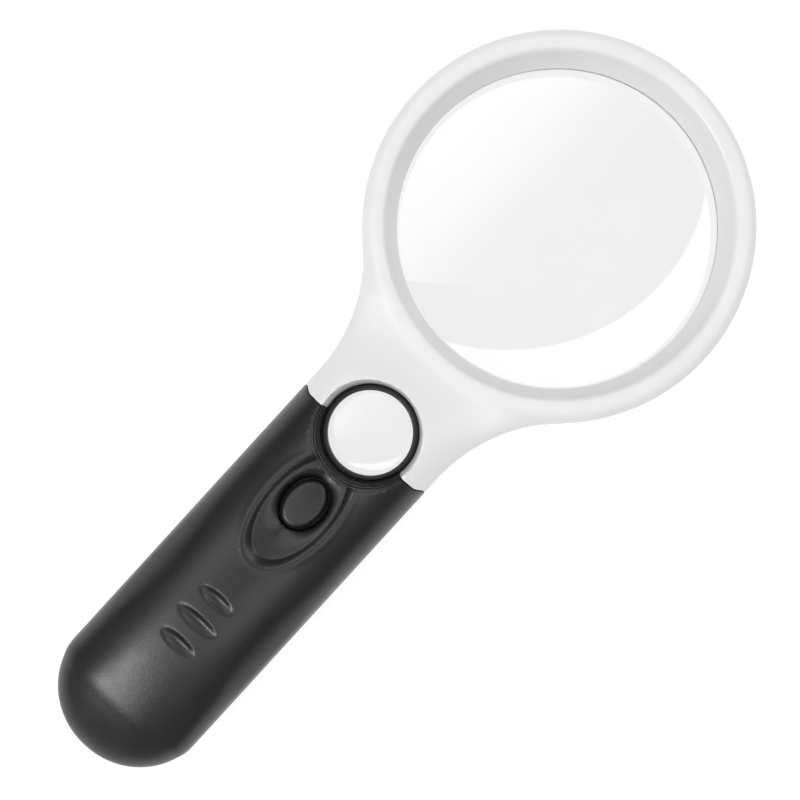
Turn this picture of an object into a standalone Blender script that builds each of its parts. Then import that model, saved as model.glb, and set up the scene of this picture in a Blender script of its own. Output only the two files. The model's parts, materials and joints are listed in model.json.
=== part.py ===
"""Hand-held illuminated magnifier with a large reading lens, a small strong lens and a battery handle.

It lies on its back. +X is across, +Y runs along the handle towards the large lens and +Z is up, out of
the front. The origin is the centre of the base. All sizes are in metres.
"""

import math

import bmesh
import bpy
from mathutils import Matrix, Vector

MM = 0.001

# Fits
GAP = 0.3 * MM  # between pieces that touch
HALF_GAP = GAP / 2
WALL = 1.8 * MM  # moulded shells
REACH = 20.0 * MM  # how far a cutter runs past what it cuts

# Large lens and its ring
LENS_CLEAR_RADIUS = 37.0 * MM
LENS_LIP = 1.6 * MM  # how far the ring covers the edge of the glass
LENS_EDGE = 2.0 * MM
LENS_SAG = 3.6 * MM  # how far each face bulges
LENS_STEPS = 34
RING_WIDTH = 8.0 * MM  # from the clear glass to the outside
RING_THICKNESS = 16.0 * MM
RING_EDGE = 3.2 * MM  # rounding of the outer edges
RING_FLARE = 2.6 * MM  # how much wider the bore is at the front
RING_BACK_FLARE = 1.2 * MM
RING_STEPS = 42
FRAME_SPLIT = 6.0 * MM  # height of the joint between the two frame halves

# Handle, fitted round the cells
CELL_RADIUS = 5.2 * MM
CELL_LENGTH = 44.5 * MM
CELL_TIP_RADIUS = 1.9 * MM
CELL_TIP = 1.0 * MM
CELL_COUNT = 3
CELL_SIDE_ROOM = 0.7 * MM
CELL_HEIGHT = CELL_RADIUS + 4.0 * MM  # of the cells' axes, over the door and its wall
HANDLE_MIDDLE = CELL_HEIGHT + CELL_RADIUS - 1.9 * MM  # height of the joint between the two shells
HANDLE_CROWN = 13.0 * MM  # from the joint up to the front
HANDLE_BELLY = HANDLE_MIDDLE + 0.4 * MM  # from the joint down, before the back is made flat
CROWN_POWER = 2.3
BELLY_POWER = 3.0
DOME_LENGTH = 17.7 * MM
SECTION_STEPS = 13
DOME_STEPS = 6

# Places along the handle, from the seam between neck and handle
NECK_LENGTH = 65.4 * MM  # centre of the ring to the seam
NECK_FILLET = 40.0 * MM
NECK_STEPS = 8
SMALL_LENS_TO_SEAM = 1.5 * MM  # the small lens stands this far on the ring's side
BUTTON_FROM_SEAM = 19.6 * MM
BAY_FROM_SEAM = 31.0 * MM  # where the cells' bay starts

# Small lens
SMALL_CLEAR_RADIUS = 9.8 * MM
SMALL_LIP = 0.6 * MM
SMALL_EDGE = 2.0 * MM
SMALL_SAG = 1.0 * MM
SMALL_HEIGHT = 9.0 * MM  # of the back of its edge
BARREL_WALL = 1.5 * MM
BEZEL_HEIGHT = 1.6 * MM
BEZEL_WIDTH = 1.2 * MM
WELL_SLOPE = 1.0 * MM  # how much wider the well is at the front
WELL_WALL = 1.0 * MM
ROUND_STEPS = 26

# Push button, its recess and its switch
BUTTON_HALF = (4.36 * MM, 6.0 * MM)
BUTTON_STAND = 0.9 * MM  # above the floor of the recess
BUTTON_DOME = 0.7 * MM
BUTTON_PLAY = 0.55 * MM
BUTTON_FLANGE = 0.8 * MM
BUTTON_TRAVEL = 1.8 * MM
BUTTON_STEPS = 26
RECESS_DEPTH = 1.9 * MM
RECESS_OUTER = (8.9 * MM, 15.4 * MM)
RECESS_INNER = (6.85 * MM, 13.1 * MM)
RECESS_SHIFT = 1.5 * MM  # its outer edge lies this far below the button
SWITCH_HALF = 4.25 * MM
SWITCH_HEIGHT = 8.0 * MM
SWITCH_WALL = 1.0 * MM
PLUNGER_RADIUS = 1.3 * MM
PLUNGER_FLANGE = 0.7 * MM
SWITCH_WIRE = 0.2 * MM

# Boards and lamps
BOARD_THICKNESS = 1.2 * MM
BOARD_HEIGHT = 6.0 * MM
BOARD_HALF = (8.0 * MM, 7.0 * MM)
LAMP_BOARD_HALF = (11.2 * MM, 3.9 * MM)
LAMP_RADIUS = 2.5 * MM
LAMP_FLANGE = 0.4 * MM
LAMP_BODY = 7.0 * MM
LAMP_SPACING = 8.2 * MM
LAMP_SINK = 0.6 * MM  # how far its tip stays inside the back

# Screws
SCREW_RADIUS = 1.1 * MM
HEAD_RADIUS = 2.0 * MM
HEAD_HEIGHT = 1.3 * MM
HEAD_SINK = 2.0 * MM
POST_WALL = 1.05 * MM

# Battery door
DOOR_SPLIT = 5.0 * MM
DOOR_TONGUE = 3.4 * MM
DOOR_RIB_PITCH = 2.4 * MM
DOOR_RIBS = 5

# Grip details
NOTCH_PITCH = 6.4 * MM
NOTCH_FROM_SEAM = 54.5 * MM  # the middle one
NOTCH_HALF_LENGTHS = (4.9 * MM, 6.2 * MM, 4.9 * MM)
NOTCH_HALF_WIDTH = 1.5 * MM
NOTCH_DEPTH = 0.9 * MM
FACET_FROM_SEAM = 54.2 * MM
FACET_HALF_LENGTH = 19.2 * MM
FACET_DEPTH = 1.1 * MM
FACET_TURN = math.radians(35)  # place round the section, from the side towards the crown

# Contacts and leads
PLATE = 0.4 * MM
PLATE_HALF = 3.6 * MM
PLATE_RISE = 2.8 * MM  # above the cells' axes
CONTACT_GAP = 0.16 * MM
SPRING_LENGTH = 3.4 * MM
SPRING_WIRE = 0.3 * MM
SPRING_RADII = (3.6 * MM, 2.0 * MM)
SPRING_TURNS = 3
TRAY_WALL = 1.5 * MM
TRAY_RISE = 1.6 * MM  # of its roof over the cells
LEAD_RADIUS = 0.45 * MM

DOME_OVERLAP = 3.0 * MM  # how far the cells' bay runs into the domed end

# Everything below follows from the sizes above
RING_RADIUS = LENS_CLEAR_RADIUS + RING_WIDTH
LENS_RADIUS = LENS_CLEAR_RADIUS + LENS_LIP
CELL_PITCH = 2 * CELL_RADIUS + GAP
HANDLE_HALF = CELL_PITCH * (CELL_COUNT - 1) / 2 + CELL_RADIUS + CELL_SIDE_ROOM + WALL
BAY_LENGTH = CELL_LENGTH + SPRING_LENGTH + 2 * PLATE + 5 * CONTACT_GAP
HANDLE_LENGTH = BAY_FROM_SEAM + BAY_LENGTH - DOME_OVERLAP + DOME_LENGTH
OVERALL_LENGTH = RING_RADIUS + NECK_LENGTH + HANDLE_LENGTH

RING_Y = OVERALL_LENGTH / 2 - RING_RADIUS
SEAM_Y = RING_Y - NECK_LENGTH
BUTT_Y = -OVERALL_LENGTH / 2
DOME_Y = BUTT_Y + DOME_LENGTH
SMALL_Y = SEAM_Y + SMALL_LENS_TO_SEAM
BUTTON_Y = SEAM_Y - BUTTON_FROM_SEAM
BAY_TOP_Y = SEAM_Y - BAY_FROM_SEAM
BAY_END_Y = BAY_TOP_Y - BAY_LENGTH
NOTCH_Y = SEAM_Y - NOTCH_FROM_SEAM
FACET_Y = SEAM_Y - FACET_FROM_SEAM

FRONT_Z = HANDLE_MIDDLE + HANDLE_CROWN
RING_SHELL_IN = LENS_RADIUS + GAP + WALL
FILLET_X = HANDLE_HALF + NECK_FILLET
FILLET_REACH = math.sqrt((RING_RADIUS + NECK_FILLET) ** 2 - FILLET_X**2)
FILLET_Y = RING_Y - FILLET_REACH
TANGENT_Y = RING_Y - FILLET_REACH * RING_RADIUS / (RING_RADIUS + NECK_FILLET)
RAMP_Y = RING_Y - LENS_CLEAR_RADIUS - RING_FLARE - 2.0 * MM

LENS_BACK_Z = FRAME_SPLIT + HALF_GAP
LIP_Z = LENS_BACK_Z + LENS_EDGE + GAP

SMALL_RADIUS = SMALL_CLEAR_RADIUS + SMALL_LIP
BARREL_RADIUS = SMALL_RADIUS + BARREL_WALL
BARREL_TOP = SMALL_HEIGHT + SMALL_EDGE
BEZEL_RADIUS = SMALL_CLEAR_RADIUS + BEZEL_WIDTH
WELL_RADIUS = BEZEL_RADIUS + GAP
WELL_BOTTOM = BARREL_TOP + GAP
WELL_BOSS = WELL_RADIUS + WELL_SLOPE + WELL_WALL

RECESS_Z = FRONT_Z - RECESS_DEPTH
RECESS_Y = BUTTON_Y - RECESS_SHIFT
BUTTON_TOP = RECESS_Z + BUTTON_STAND
BOARD_TOP = BOARD_HEIGHT + BOARD_THICKNESS
SWITCH_Z = BOARD_TOP + GAP
SWITCH_TOP = SWITCH_Z + SWITCH_HEIGHT
BUTTON_FLANGE_Z = SWITCH_TOP + BUTTON_TRAVEL + SWITCH_WALL
BUTTON_GUIDE_Z = BUTTON_FLANGE_Z + SWITCH_WALL + GAP
PLUNGER_FOOT_Z = SWITCH_TOP - SWITCH_WALL - GAP - PLUNGER_FLANGE
SWITCH_FLOOR_Z = SWITCH_Z + SWITCH_WALL

POST_RADIUS = HEAD_RADIUS + 0.35 * MM + POST_WALL
TONGUE_Z = FRAME_SPLIT + HALF_GAP + 0.3 * MM
TONGUE_THICKNESS = 2.4 * MM
TONGUE_HALF = 0.9 * (HANDLE_HALF - WALL)  # clear of the shell's curve
DOOR_Y = BAY_TOP_Y + 2.3 * MM
LATCH_Z = DOOR_SPLIT + 1.8 * MM
LATCH = 1.2 * MM
LAMP_TOP = LAMP_SINK + LAMP_BODY
LAMP_Y = (SMALL_Y + BARREL_RADIUS + GAP + RING_Y - RING_SHELL_IN) / 2
TONGUE_TIP = TONGUE_Z + TONGUE_THICKNESS - 0.2 * MM
NECK_SCREW_TIP = 11.5 * MM
SHELL_TIP = 18.0 * MM
BUTT_HEAD_Z = DOOR_SPLIT + MM

# Screw places, one of each pair
TONGUE_SCREW = (TONGUE_HALF - 2.8 * MM, SMALL_Y - BARREL_RADIUS - 2.9 * MM)
NECK_SCREW = (HANDLE_HALF - 3.4 * MM, SMALL_Y + BARREL_RADIUS)
SHELL_SCREW = (HANDLE_HALF - WALL - POST_RADIUS, BAY_TOP_Y + 5.9 * MM)
BUTT_SCREW = (HANDLE_HALF / 2 - 0.7 * MM, BAY_END_Y - 5.0 * MM)


# The neck runs into the ring at a tangent, and posts graze the handle's wall, so faces nearly
# coincide in these bodies
NEAR_COINCIDENT = (
    "ring_outside",
    "neck_hollow",
    "front_frame",
    "rear_frame",
    "handle_hollow",
    "handle_front_shell",
    "handle_rear_shell",
)


# --- making objects -------------------------------------------------------------------------------


def clear_scene():
    for obj in list(bpy.data.objects):
        bpy.data.objects.remove(obj, do_unlink=True)


def new_collection(name):
    collection = bpy.data.collections.new(name)
    bpy.context.scene.collection.children.link(collection)
    return collection


def principled(name, colour, roughness, metallic=0.0, transmission=0.0):
    material = bpy.data.materials.new(name)
    material.use_nodes = True
    shader = material.node_tree.nodes["Principled BSDF"]
    shader.inputs["Base Color"].default_value = (*colour, 1.0)
    shader.inputs["Roughness"].default_value = roughness
    shader.inputs["Metallic"].default_value = metallic
    shader.inputs["Transmission Weight"].default_value = transmission
    material.diffuse_color = (*colour, 1.0)
    return material


WHITE_PLASTIC = ((0.83, 0.83, 0.84), 0.35)
BLACK_PLASTIC = ((0.025, 0.026, 0.028), 0.5)
GLASS = ((0.95, 0.97, 0.97), 0.03, 0.0, 1.0)
SPRING_STEEL = ((0.62, 0.62, 0.64), 0.3, 1.0)
NICKEL = ((0.72, 0.7, 0.66), 0.28, 1.0)
SCREW_STEEL = ((0.45, 0.45, 0.47), 0.35, 1.0)
BOARD_GREEN = ((0.03, 0.2, 0.09), 0.5)
SWITCH_GREY = ((0.16, 0.16, 0.17), 0.45)
PLUNGER_WHITE = ((0.8, 0.8, 0.76), 0.4)
LAMP_CLEAR = ((0.93, 0.93, 0.85), 0.12, 0.0, 0.6)
CELL_JACKET = ((0.1, 0.16, 0.33), 0.35, 0.3)
RED_LEAD = ((0.6, 0.03, 0.03), 0.5)
BLACK_LEAD = ((0.02, 0.02, 0.02), 0.5)
RESISTOR_BEIGE = ((0.68, 0.55, 0.36), 0.45)


def add_part(obj, look):
    """Files the object as a sub-part with a material of its own."""
    obj.data.materials.clear()
    obj.data.materials.append(principled(obj.name + "_finish", *look))
    PARTS.objects.link(obj)
    return obj


def add_cutter(obj):
    obj.hide_render = True
    obj.display_type = "WIRE"
    CUTTERS.objects.link(obj)
    return obj


def object_of(name, bm, place=(0, 0, 0)):
    bmesh.ops.recalc_face_normals(bm, faces=bm.faces)
    mesh = bpy.data.meshes.new(name)
    bm.to_mesh(mesh)
    bm.free()
    mesh.shade_smooth()
    mesh.set_sharp_from_angle(angle=math.radians(35))
    obj = bpy.data.objects.new(name, mesh)
    obj.location = place
    return obj


def block(name, low, high):
    """A box between two corners."""
    low = Vector(low)
    high = Vector(high)
    bm = bmesh.new()
    bmesh.ops.create_cube(bm, size=1.0, matrix=Matrix.Diagonal((*(high - low), 1.0)))
    return object_of(name, bm, (low + high) / 2)


def round_bar(name, radius, place, z_low, z_high, steps=14, top_radius=None):
    """An upright cylinder, or a cone where the top radius differs, with no corner on x = 0."""
    bm = bmesh.new()
    bmesh.ops.create_cone(
        bm,
        cap_ends=True,
        segments=steps,
        radius1=radius,
        radius2=radius if top_radius is None else top_radius,
        depth=z_high - z_low,
        matrix=Matrix.Rotation(math.pi / steps, 4, "Z"),
    )
    return object_of(name, bm, (place[0], place[1], (z_low + z_high) / 2))


def turned(name, profile, place=(0, 0, 0), steps=ROUND_STEPS):
    """A body of revolution about Z. The (radius, z) profile runs down its outer side."""
    closed = min(r for r, _ in profile) > 0
    bm = bmesh.new()
    verts = [bm.verts.new((r, 0.0, z)) for r, z in profile]
    for first, second in zip(verts, verts[1:] + verts[:1] if closed else verts[1:]):
        bm.edges.new((first, second))
    mesh = bpy.data.meshes.new(name)
    bm.to_mesh(mesh)
    bm.free()
    obj = bpy.data.objects.new(name, mesh)
    obj.location = place
    screw = obj.modifiers.new("turn", "SCREW")
    screw.steps = steps
    screw.render_steps = steps
    screw.use_merge_vertices = True
    screw.merge_threshold = 0.00001
    screw.use_smooth_shade = True
    return obj


def loft(name, rings, tip=None):
    """A closed body through equal rings of points, ending in a flat cap or a tip."""
    bm = bmesh.new()
    rows = [[bm.verts.new(point) for point in ring] for ring in rings]
    for near, far in zip(rows, rows[1:]):
        for i, _ in enumerate(near):
            j = (i + 1) % len(near)
            bm.faces.new((near[i], near[j], far[j], far[i]))
    bm.faces.new(rows[0])
    if tip is None:
        bm.faces.new(rows[-1])
    else:
        point = bm.verts.new(tip)
        last = rows[-1]
        for i, _ in enumerate(last):
            bm.faces.new((last[i], last[(i + 1) % len(last)], point))
    return object_of(name, bm)


def wire(name, points, radius, look, sides=2):
    """A bare or insulated wire along a list of points."""
    curve = bpy.data.curves.new(name, "CURVE")
    curve.dimensions = "3D"
    curve.bevel_depth = radius
    curve.bevel_resolution = sides
    curve.use_fill_caps = True
    spline = curve.splines.new("POLY")
    spline.points.add(len(points) - 1)
    for point, place in zip(spline.points, points):
        point.co = (*place, 1.0)
    return add_part(bpy.data.objects.new(name, curve), look)


def boolean(obj, operation, others):
    """Cuts or joins with EXACT, or with MANIFOLD on a body that nearly coincides with its tools."""
    for other in others:
        step = obj.modifiers.new(operation.lower() + "_" + other.name, "BOOLEAN")
        step.operation = operation
        step.solver = "MANIFOLD" if obj.name in NEAR_COINCIDENT else "EXACT"
        step.object = other
        if other.name not in CUTTERS.objects:
            add_cutter(other)
    return obj


def cut(obj, *others):
    return boolean(obj, "DIFFERENCE", others)


def join(obj, *others):
    return boolean(obj, "UNION", others)


def keep(obj, *others):
    return boolean(obj, "INTERSECT", others)


def set_origin(obj, point):
    """Moves the object's origin to a point, for instance onto its joint's axis."""
    shift = Vector(point) - obj.location
    obj.data.transform(Matrix.Translation(-shift))
    obj.location = point
    return obj


def on_axis(name, point, children):
    """An empty on a joint's axis, which carries the pieces that move with it."""
    empty = bpy.data.objects.new(name, None)
    empty.location = point
    empty.empty_display_size = 5 * MM
    PARTS.objects.link(empty)
    for child in children:
        child.parent = empty
        child.location -= Vector(point)
    return empty


# --- outlines -------------------------------------------------------------------------------------


def power_of(value, power):
    return math.copysign(abs(value) ** power, value)


def arch(half_width, height, power, steps):
    """Points (x, z) from +half_width over the top to -half_width."""
    angles = [math.pi * i / steps for i in range(steps + 1)]
    return [
        (half_width * power_of(math.cos(a), 2 / power), height * abs(math.sin(a)) ** (2 / power))
        for a in angles
    ]


def section(y, half_width, middle, crown, belly, powers, floor):
    """One slice across the body: an arch over the joint and a flattened arch under it."""
    upper = arch(half_width, crown, powers[0], SECTION_STEPS)
    lower = arch(half_width, belly, powers[1], SECTION_STEPS)[1:-1]
    ring = [(x, y, middle + z) for x, z in upper]
    ring += [(-x, y, max(middle - z, floor)) for x, z in lower]
    return ring


def oval(half_x, half_y, centre, z, steps=BUTTON_STEPS):
    angles = [2 * math.pi * (i + 0.5) / steps for i in range(steps)]
    return [
        (centre[0] + half_x * math.cos(a), centre[1] + half_y * math.sin(a), z) for a in angles
    ]


def smooth(value):
    value = min(max(value, 0.0), 1.0)
    return value * value * (3 - 2 * value)


def mix(first, second, share):
    return first + (second - first) * share


def neck_half_width(y):
    """Half width of the neck, which flares on a fillet into the ring."""
    if y <= FILLET_Y:
        return HANDLE_HALF
    return FILLET_X - math.sqrt(NECK_FILLET**2 - (y - FILLET_Y) ** 2)


# --- bodies that the shells are cut from ----------------------------------------------------------


def handle_body(name, inset, start):
    """The handle as one solid, drawn in from its outside by the inset."""
    half = HANDLE_HALF - inset
    crown = HANDLE_CROWN - inset
    belly = HANDLE_BELLY - inset
    powers = (CROWN_POWER, BELLY_POWER)
    rings = []
    stations = [(start, 1.0)]
    for i in range(DOME_STEPS):
        angle = math.pi / 2 * i / DOME_STEPS
        stations.append((DOME_Y - (DOME_LENGTH - inset) * math.sin(angle), math.cos(angle)))
    for y, size in stations:
        rings.append(
            section(y, half * size, HANDLE_MIDDLE, crown * size, belly * size, powers, inset)
        )
    return loft(name, rings, (0, BUTT_Y + inset, HANDLE_MIDDLE))


def neck_body(name, inset, start):
    """The neck as one solid, from the seam to where it meets the outside of the ring."""
    stations = [start, SEAM_Y + 2.0 * MM]
    for i in range(NECK_STEPS):
        stations.append(mix(SEAM_Y + 2.0 * MM, TANGENT_Y, (i + 1) / NECK_STEPS))
    rings = []
    for y in stations:
        share = smooth((y - SEAM_Y) / (RAMP_Y - SEAM_Y))
        middle = mix(HANDLE_MIDDLE, RING_THICKNESS / 2, share)
        crown = mix(HANDLE_CROWN, RING_THICKNESS / 2, share) - inset
        belly = mix(HANDLE_BELLY, RING_THICKNESS / 2 + 0.2 * MM, share) - inset
        powers = (mix(CROWN_POWER, 4.5, share), mix(BELLY_POWER, 4.5, share))
        rings.append(section(y, neck_half_width(y) - inset, middle, crown, belly, powers, inset))
    return loft(name, rings)


def ring_body():
    """The outside of the ring, solid, with both outer edges rounded."""
    outer = []
    for i in range(4):
        angle = math.pi / 2 * i / 3
        outer.append(
            (
                RING_RADIUS - RING_EDGE + RING_EDGE * math.sin(angle),
                RING_THICKNESS - RING_EDGE * 0.7 * (1 - math.cos(angle)),
            )
        )
    below = [(r, RING_THICKNESS - z) for r, z in reversed(outer)]
    inner = LENS_CLEAR_RADIUS - 4 * MM
    profile = [(inner, RING_THICKNESS)] + outer + below + [(inner, 0.0)]
    return turned("ring_outside", profile, (0, RING_Y, 0), RING_STEPS)


def ring_bore():
    """What the glass and the view through it take out of the ring."""
    rim = LENS_CLEAR_RADIUS + RING_FLARE
    profile = [
        (0.0, FRONT_Z + REACH),
        (rim + 0.5 * MM, FRONT_Z + REACH),
        (rim + 0.5 * MM, RING_THICKNESS),
        (rim, RING_THICKNESS - 0.6 * MM),
        (LENS_CLEAR_RADIUS, LIP_Z),
        (LENS_RADIUS + GAP, LIP_Z),
        (LENS_RADIUS + GAP, FRAME_SPLIT - HALF_GAP),
        (LENS_CLEAR_RADIUS, FRAME_SPLIT - HALF_GAP),
        (LENS_CLEAR_RADIUS + RING_BACK_FLARE, 0.0),
        (LENS_CLEAR_RADIUS + RING_BACK_FLARE, -REACH),
        (0.0, -REACH),
    ]
    return turned("ring_bore", profile, (0, RING_Y, 0), RING_STEPS)


def ring_channel():
    """The hollow inside the ring, between its two walls."""
    inner = RING_SHELL_IN + 0.3 * MM
    outer = RING_RADIUS - WALL
    low = WALL
    high = RING_THICKNESS - WALL
    corner = 1.2 * MM
    profile = [
        (inner, high),
        (outer - corner, high),
        (outer, high - corner),
        (outer, low + corner),
        (outer - corner, low),
        (inner, low),
    ]
    return turned("ring_channel", profile, (0, RING_Y, 0), RING_STEPS)


def mirrored(place):
    return [(place[0], place[1]), (-place[0], place[1])]


def posts(name, place, z_low, z_high, radius=POST_RADIUS):
    """A pair of solid posts, one each side, to be left standing in a hollow."""
    return [
        round_bar(f"{name}_{i}", radius, spot, z_low, z_high)
        for i, spot in enumerate(mirrored(place))
    ]


def well_cutter(name):
    """The tapered well over the small lens."""
    rise = (WELL_SLOPE * (FRONT_Z + REACH - WELL_BOTTOM)) / (FRONT_Z - WELL_BOTTOM)
    return round_bar(
        name,
        WELL_RADIUS,
        (0, SMALL_Y),
        WELL_BOTTOM - 2 * GAP,
        FRONT_Z + REACH,
        ROUND_STEPS,
        WELL_RADIUS + rise,
    )


def barrel_cutter(name):
    return round_bar(
        name, BARREL_RADIUS + GAP, (0, SMALL_Y), -REACH, BARREL_TOP + HALF_GAP, ROUND_STEPS
    )


def screw_holes(name, place, head_z, z_high):
    """For each screw of a pair: a wide hole for its head and a narrower one for its thread."""
    holes = []
    for i, (x, y) in enumerate(mirrored(place)):
        top = head_z + HEAD_HEIGHT + GAP
        profile = [
            (0.0, z_high),
            (SCREW_RADIUS + GAP, z_high),
            (SCREW_RADIUS + GAP, top),
            (HEAD_RADIUS + 0.35 * MM, top),
            (HEAD_RADIUS + 0.35 * MM, -REACH),
            (0.0, -REACH),
        ]
        holes.append(turned(f"{name}_{i}", profile, (x, y, 0), 14))
    return holes


# --- white frame ----------------------------------------------------------------------------------


def lens_frame():
    """Front and rear halves of the ring and neck, hollow, joined on a flat plane."""
    outside = join(ring_body(), neck_body("neck_outside", 0.0, SEAM_Y + HALF_GAP))
    hollow = neck_body("neck_hollow", WALL, SEAM_Y - 2 * MM)
    inner_wall = round_bar(
        "ring_inner_wall", RING_SHELL_IN, (0, RING_Y), -REACH, FRONT_Z + REACH, RING_STEPS
    )
    well_wall = round_bar(
        "neck_well_wall", WELL_BOSS, (0, SMALL_Y), WELL_BOTTOM, FRONT_Z + REACH, ROUND_STEPS
    )
    cut(hollow, inner_wall, well_wall, *posts("neck_post", NECK_SCREW, -REACH, FRONT_Z + REACH))
    channel = ring_channel()
    bore = ring_bore()
    barrel_hole = barrel_cutter("frame_barrel_hole")
    cut(outside, channel, bore, hollow, barrel_hole)
    neck_holes = screw_holes("neck_screw_hole", NECK_SCREW, HEAD_SINK, NECK_SCREW_TIP + GAP)
    wide = OVERALL_LENGTH

    front = block(
        "front_frame", (-wide, -wide, FRAME_SPLIT + HALF_GAP), (wide, wide, FRONT_Z + REACH)
    )
    keep(front, outside)
    join(front, tongue())
    cut(front, barrel_hole, well_cutter("frame_well"), *neck_holes)
    add_part(front, WHITE_PLASTIC)

    rear = block("rear_frame", (-wide, -wide, -REACH), (wide, wide, FRAME_SPLIT - HALF_GAP))
    keep(rear, outside)
    cut(rear, *neck_holes, *lamp_windows())
    add_part(rear, WHITE_PLASTIC)


def tongue():
    """A forked plate that reaches from the front frame into the handle and is screwed there."""
    top = TONGUE_Z + TONGUE_THICKNESS
    end = TONGUE_SCREW[1] - 3.0 * MM
    root = block(
        "tongue_root",
        (-HANDLE_HALF + WALL / 2, SEAM_Y + GAP, TONGUE_Z),
        (HANDLE_HALF - WALL / 2, SMALL_Y + 5 * MM, top),
    )
    plate = block("tongue_plate", (-TONGUE_HALF, end, TONGUE_Z), (TONGUE_HALF, SMALL_Y, top))
    join(root, plate)
    fork = block(
        "tongue_fork",
        (-BOARD_HALF[0] - 2 * GAP, end - REACH, TONGUE_Z - REACH),
        (BOARD_HALF[0] + 2 * GAP, SMALL_Y - BARREL_RADIUS + 4 * MM, top + REACH),
    )
    holes = [
        round_bar(f"tongue_hole_{i}", SCREW_RADIUS + GAP, spot, TONGUE_Z - REACH, top + REACH)
        for i, spot in enumerate(mirrored(TONGUE_SCREW))
    ]
    return cut(root, fork, *holes)


def lamp_windows():
    """Flared holes in the back of the neck, one for each lamp."""
    windows = []
    for i, x in enumerate(lamp_places()):
        profile = [
            (0.0, FRAME_SPLIT),
            (LAMP_RADIUS + GAP, FRAME_SPLIT),
            (LAMP_RADIUS + GAP, WALL * 0.8),
            (LAMP_RADIUS + WALL, 0.0),
            (LAMP_RADIUS + WALL, -REACH),
            (0.0, -REACH),
        ]
        windows.append(turned(f"lamp_window_{i}", profile, (x, LAMP_Y, 0), 18))
    return windows


def lamp_places():
    return (-LAMP_SPACING, 0.0, LAMP_SPACING)


# --- lenses ---------------------------------------------------------------------------------------


def lens_profile(radius, clear, back, edge, sag, steps):
    """Half outline of a lens that bulges both ways inside a flat rim."""
    sphere = (clear**2 + sag**2) / (2 * sag)
    arc = []
    for i in range(steps + 1):
        r = clear * i / steps
        arc.append((r, sag - sphere + math.sqrt(sphere**2 - r**2)))
    front = [(r, back + edge + z) for r, z in arc]
    rear = [(r, back - z) for r, z in reversed(arc)]
    return front + [(radius, back + edge), (radius, back)] + rear


def lenses():
    main = lens_profile(
        LENS_RADIUS, LENS_CLEAR_RADIUS - GAP, LENS_BACK_Z, LENS_EDGE, LENS_SAG, 5
    )
    add_part(turned("main_lens", main, (0, RING_Y, 0), LENS_STEPS), GLASS)
    small = lens_profile(
        SMALL_RADIUS, SMALL_CLEAR_RADIUS - GAP, SMALL_HEIGHT, SMALL_EDGE, SMALL_SAG, 4
    )
    add_part(turned("small_lens", small, (0, SMALL_Y, 0)), GLASS)
    seat = SMALL_HEIGHT - GAP
    pocket = SMALL_RADIUS + GAP
    barrel = [
        (BARREL_RADIUS, BARREL_TOP),
        (BARREL_RADIUS, 0.8 * MM),
        (BARREL_RADIUS - 0.5 * MM, GAP),
        (SMALL_CLEAR_RADIUS + 0.6 * MM, GAP),
        (SMALL_CLEAR_RADIUS, 1.2 * MM),
        (SMALL_CLEAR_RADIUS, seat),
        (pocket, seat),
        (pocket, BARREL_TOP),
    ]
    add_part(turned("small_lens_barrel", barrel, (0, SMALL_Y, 0)), BLACK_PLASTIC)
    low = WELL_BOTTOM
    high = WELL_BOTTOM + BEZEL_HEIGHT
    bezel = [
        (BEZEL_RADIUS - 0.4 * MM, high),
        (BEZEL_RADIUS, high - 0.4 * MM),
        (BEZEL_RADIUS, low),
        (SMALL_CLEAR_RADIUS, low),
        (SMALL_CLEAR_RADIUS, high - 0.3 * MM),
        (SMALL_CLEAR_RADIUS + 0.3 * MM, high),
    ]
    add_part(turned("small_lens_bezel", bezel, (0, SMALL_Y, 0)), BLACK_PLASTIC)


# --- handle ---------------------------------------------------------------------------------------


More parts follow.
